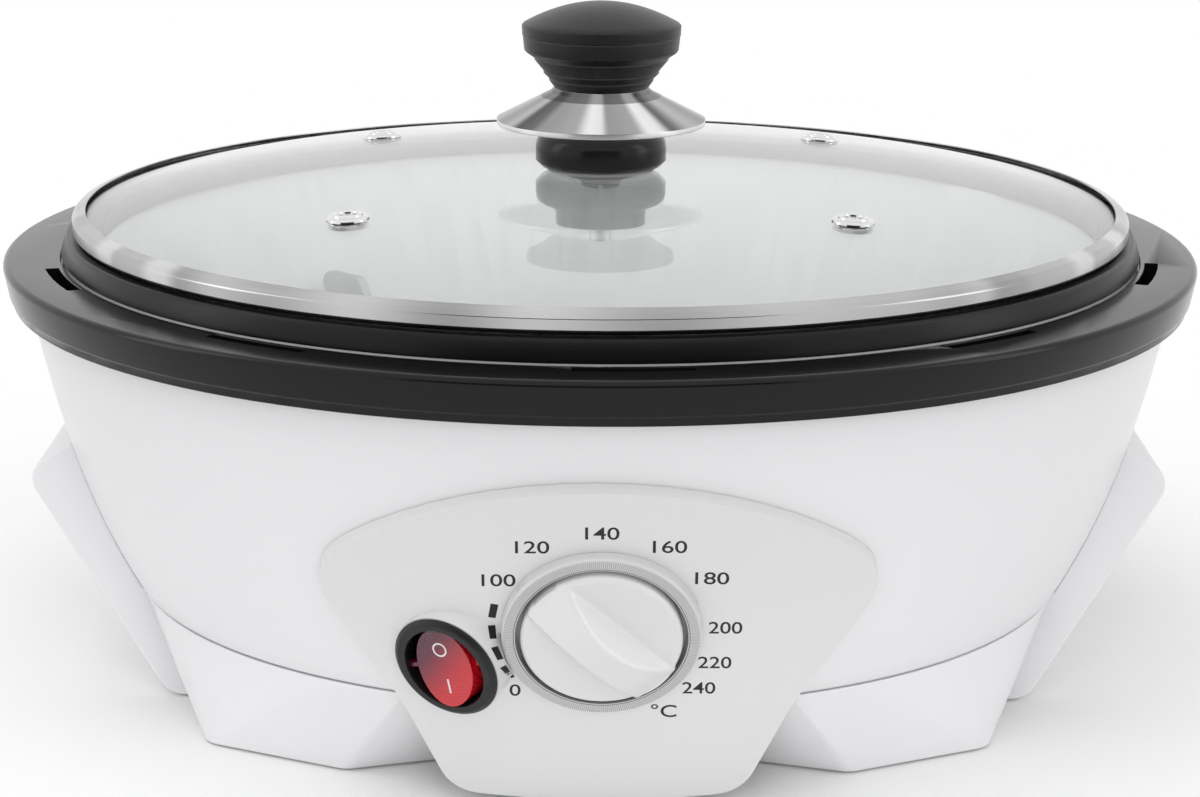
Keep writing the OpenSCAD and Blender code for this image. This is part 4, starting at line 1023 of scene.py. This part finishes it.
class ROASTER_OT_switch(bpy.types.Operator):
    """Round the bezel, rib the red rocker and print its on and off marks"""

    bl_idname = "roaster.switch"
    bl_label = "Switch"

    def execute(self, context):
        front = context.scene.roaster_front
        black = moulded_plastic(
            "switch black", (0.008, 0.008, 0.008), 0.4, grain=1400.0, depth=0.12, clouding=0.3,
            gloss=0.4,
        )
        smooth_copy("switch_bezel", black, bevel=0.35 * MM, smooth_angle=40, sharp_from=30)
        dress("switch_body", black)
        # The rocker's red carries a painted glow at its foot and painted shade at its top.
        self.rocker(ribbed_red_painted_glow("rocker red", tuple(front.rocker_red), tuple(front.rocker_shaded_red)))
        self.marks()
        return {"FINISHED"}

    FACE_A, FACE_B, FACE_H, DISH_R = 6.7 * MM, 9.4 * MM, 2.5 * MM, 70 * MM

    def face_height(self, y):
        """Height of the rocker's dished face."""
        return self.FACE_H + self.DISH_R - math.sqrt(self.DISH_R**2 - y**2)

    def rocker(self, material):
        """A dished oval face with walls that spread down into the switch, on its two pins."""
        face_rings = 14
        shares = [k / face_rings for k in range(face_rings + 1)] + [1.05, 1.12, 1.5, 2.0]
        bm = flat_disc(shares, 96, 0.01)
        for vert in bm.verts:
            share = math.hypot(vert.co.x, vert.co.y)
            flare = max(0.0, share - 1)
            turn = Vector((vert.co.x, vert.co.y, 0)) / max(share, 1e-6)
            reach = min(share, 1.0)
            x = turn.x * (self.FACE_A * reach + 2.0 * MM * flare)
            y = turn.y * (self.FACE_B * reach + 0.35 * MM * flare)
            drop = 5.5 * MM * flare if flare > 0.06 else 2.0 * MM * flare
            vert.co = Vector((x, y, self.face_height(y) - drop))
        close_foot(bm)
        pin_r = 1.0 * MM
        pins = bmesh.ops.create_cone(
            bm, cap_ends=True, segments=24, radius1=pin_r, radius2=pin_r, depth=21 * MM
        )["verts"]
        across = Matrix.Rotation(math.pi / 2, 3, "Y")
        bmesh.ops.rotate(bm, verts=pins, cent=ORIGIN, matrix=across)
        set_down(bm, ROCKER_FRAME)
        replace_node(bm, "rocker_moulded", "switch_rocker", material, 45)

    def marks(self):
        """Prints the ring of off on the upper end and the bar of on at the lower end."""
        inner, outer, half = 1.35 * MM, 1.75 * MM, 0.02 * MM
        ring = spun([(inner, -half), (outer, -half), (outer, half), (inner, half)], 48)
        bmesh.ops.translate(ring, verts=ring.verts, vec=(0, 4.3 * MM, 0))
        bar = bmesh.new()
        bmesh.ops.create_cube(bar, size=1)
        bmesh.ops.scale(bar, verts=bar.verts, vec=(0.42 * MM, 3.3 * MM, 2 * half))
        bmesh.ops.subdivide_edges(bar, edges=bar.edges, cuts=3, use_grid_fill=True)
        bmesh.ops.translate(bar, verts=bar.verts, vec=(0, -4.6 * MM, 0))
        whole = bmesh.new()
        for part in (ring, bar):
            pour(part, whole)
        for vert in whole.verts:
            vert.co.z += self.face_height(vert.co.y) + MARK_LIFT
        set_down(whole, ROCKER_FRAME)
        white = ink("mark white", (0.85, 0.82, 0.82))
        finish_piece(whole, "rocker_marks", "switch_rocker", white, 30)


# --- Operators: inside


class ROASTER_OT_inside(bpy.types.Operator):
    """Finish the drive, the heater, the chassis, the fasteners and the wiring"""

    bl_idname = "roaster.inside"
    bl_label = "Works inside"

    def execute(self, context):
        finishes = {
            plain_metal("shaft steel", (0.62, 0.62, 0.63), 0.22, 400.0): (
                "drive_shaft", "idler_pin", "thermostat_spindle"),
            plain_metal("screw steel", (0.66, 0.66, 0.67), 0.3, 300.0): (
                "knob_washer", "knob_screw", "rim_screws", "chassis_screws", "base_screws"),
            plain_metal("zinc sheet", (0.58, 0.59, 0.6), 0.4, 120.0): (
                "motor_can", "gearbox_lid", "chassis_plate", "shield_posts", "heater_saddles"),
            plain_metal("shield sheet", (0.68, 0.68, 0.68), 0.25, 60.0): ("heat_shield",),
            plain_metal("gearbox casting", (0.5, 0.5, 0.51), 0.55, 260.0, 0.08): (
                "gearbox_housing",),
            plain_metal("heater sheath", (0.12, 0.105, 0.1), 0.6, 180.0, 0.05): ("heater_ring",),
            plain_metal("drawn copper", (0.62, 0.3, 0.17), 0.3, 200.0): (
                "sensor_bulb", "stator_coil"),
            plain_metal("fuse case", (0.7, 0.7, 0.7), 0.3): ("thermal_fuse",),
            plain_metal("terminal brass", (0.7, 0.52, 0.24), 0.3): ("switch_terminals",),
            moulded_plastic("gear plastic", (0.78, 0.74, 0.62), 0.45): (
                "output_wheel", "idler_gear", "rotor_pinion"),
            moulded_plastic("ferrite", (0.05, 0.05, 0.055), 0.7, 400.0, 0.05, 0.2): (
                "rotor_magnet",),
            moulded_plastic("glazed ceramic", (0.8, 0.78, 0.7), 0.25, 200.0, 0.01, 0.08): (
                "terminal_block", "thermostat_body"),
            moulded_plastic("lead silicone", (0.42, 0.06, 0.04), 0.6): ("wiring",),
        }
        for material, nodes in finishes.items():
            for node in nodes:
                dress(node, material)
        return {"FINISHED"}


# --- Operator: stage


class ROASTER_OT_stage(bpy.types.Operator):
    """Set up the white floor, the soft lights and the camera"""

    bl_idname = "roaster.stage"
    bl_label = "Studio"

    def execute(self, context):
        stage = context.scene.roaster_stage
        context.scene.view_settings.view_transform = "Standard"
        self.camera(context)
        self.world(context, stage)
        self.floor(stage)
        self.lamp("key", (-0.25, -0.55, 1.75), 1.5, stage.key_w)
        self.lamp("front", (0.1, -1.9, 0.62), 1.5, stage.fill_w)
        self.lamp("left strip", (-1.5, -0.1, 0.75), 0.5, 3.0, 1.4, True)
        self.lamp("right strip", (1.5, -0.3, 0.7), 0.5, 3.0, 1.4, True)
        self.card("front_card", (0, -2.3, 0.5), (3.2, 1.3))
        return {"FINISHED"}

    def camera(self, context):
        """The camera that was fitted to the photograph."""
        data = bpy.data.cameras.new("camera")
        data.sensor_width = 36
        data.lens = 93.816
        data.shift_x = 0.0005
        data.clip_start, data.clip_end = 0.05, 50
        camera = bpy.data.objects.new("camera", data)
        camera.matrix_world = (
            Matrix.Translation((0, -0.7825, 0.2653))
            @ Euler((math.radians(90 - 14.09), 0, 0)).to_matrix().to_4x4()
            @ Matrix.Rotation(math.radians(0.34), 4, "Z")
        )
        context.scene.collection.objects.link(camera)
        context.scene.camera = camera

    def world(self, context, stage):
        """White to the camera and in reflections, softer as a light."""
        world = bpy.data.worlds.new("studio")
        world.use_nodes = True
        tree = world.node_tree
        light = tree.nodes["Background"]
        light.inputs["Color"].default_value = (1, 1, 1, 1)
        path = tree.nodes.new("ShaderNodeLightPath")
        seen = path.outputs["Is Camera Ray"]
        for ray in ("Is Transmission Ray", "Is Glossy Ray"):
            seen = math_node(tree, "MAXIMUM", seen, path.outputs[ray])
        tree.links.new(remap(tree, seen, stage.ambient, 1.0), light.inputs["Strength"])
        context.scene.world = world

    def floor(self, stage):
        """A white disc that fades out round the roaster's shadow."""
        white = tuple(stage.floor_white)
        material, tree, shader, coords = new_material("floor white", white, 0.7)
        tint(tree, shader, white, remap(tree, noise(tree, coords, 3.0), 0.99, 1.0))
        fade = remap(tree, polar(tree, coords)[0], 1.0, 0.0, 0.13, 0.36, smooth=True)
        tree.links.new(fade, shader.inputs["Alpha"])
        bm = bmesh.new()
        bmesh.ops.create_circle(bm, cap_ends=True, radius=0.4, segments=64)
        new_object(bm, "floor", material)

    def lamp(self, name, place, size, watts, height=None, mirrored=False):
        """A soft panel that faces the roaster; reflections show it only where it is mirrored."""
        data = bpy.data.lights.new(name, "AREA")
        data.energy = watts
        data.size = size
        if height:
            data.shape = "RECTANGLE"
            data.size_y = height
        lamp = bpy.data.objects.new(name, data)
        lamp.location = place
        aim = Vector((0, 0, 0.08)) - Vector(place)
        lamp.rotation_euler = aim.to_track_quat("-Z", "Y").to_euler()
        lamp.visible_glossy = mirrored
        lamp.visible_transmission = False
        bpy.context.scene.collection.objects.link(lamp)

    def card(self, name, place, size):
        """A dark card that only reflections see."""
        black = (0.02, 0.02, 0.02)
        material, tree, shader, coords = new_material("card black", black, 0.9)
        tint(tree, shader, black, remap(tree, noise(tree, coords, 3.0), 0.9, 1.0))
        bm = bmesh.new()
        bmesh.ops.create_grid(bm, x_segments=1, y_segments=1, size=0.5)
        bmesh.ops.scale(bm, verts=bm.verts, vec=(*size, 1))
        upright = Matrix.Rotation(math.pi / 2, 3, "X")
        bmesh.ops.rotate(bm, verts=bm.verts, cent=ORIGIN, matrix=upright)
        bmesh.ops.translate(bm, verts=bm.verts, vec=place)
        card = new_object(bm, name, material)
        card.visible_camera = False
        card.visible_diffuse = False
        card.visible_transmission = False
        card.visible_shadow = False


# --- Panel, registration and main

OPERATORS = (
    ROASTER_OT_stage,
    ROASTER_OT_body,
    ROASTER_OT_rim,
    ROASTER_OT_pan,
    ROASTER_OT_lid_glass,
    ROASTER_OT_lid_metal,
    ROASTER_OT_lid_knob,
    ROASTER_OT_panel,
    ROASTER_OT_dial_marks,
    ROASTER_OT_dial,
    ROASTER_OT_switch,
    ROASTER_OT_inside,
)


class ROASTER_PT_sidebar(bpy.types.Panel):
    """Lists the roaster's pieces in the order they are made"""

    bl_idname = "ROASTER_PT_sidebar"
    bl_label = "Coffee roaster"
    bl_space_type = "VIEW_3D"
    bl_region_type = "UI"
    bl_category = "Roaster"

    def draw(self, context):
        for operator in OPERATORS:
            self.layout.operator(operator.bl_idname)


SETTINGS = {
    "roaster_lid": RoasterLid,
    "roaster_body": RoasterBody,
    "roaster_front": RoasterFront,
    "roaster_stage": RoasterStage,
}


def register():
    for settings in SETTINGS.values():
        bpy.utils.register_class(settings)
    for name, settings in SETTINGS.items():
        setattr(bpy.types.Scene, name, PointerProperty(type=settings))
    for operator in OPERATORS:
        bpy.utils.register_class(operator)
    bpy.utils.register_class(ROASTER_PT_sidebar)


def unregister():
    bpy.utils.unregister_class(ROASTER_PT_sidebar)
    for operator in reversed(OPERATORS):
        bpy.utils.unregister_class(operator)
    for name in SETTINGS:
        delattr(bpy.types.Scene, name)
    for settings in reversed(SETTINGS.values()):
        bpy.utils.unregister_class(settings)


def run(operator):
    """Calls an operator by its bl_idname."""
    group, name = operator.bl_idname.split(".")
    getattr(getattr(bpy.ops, group), name)()


def main():
    register()
    for operator in OPERATORS:
        run(operator)


if __name__ == "__main__":
    main()
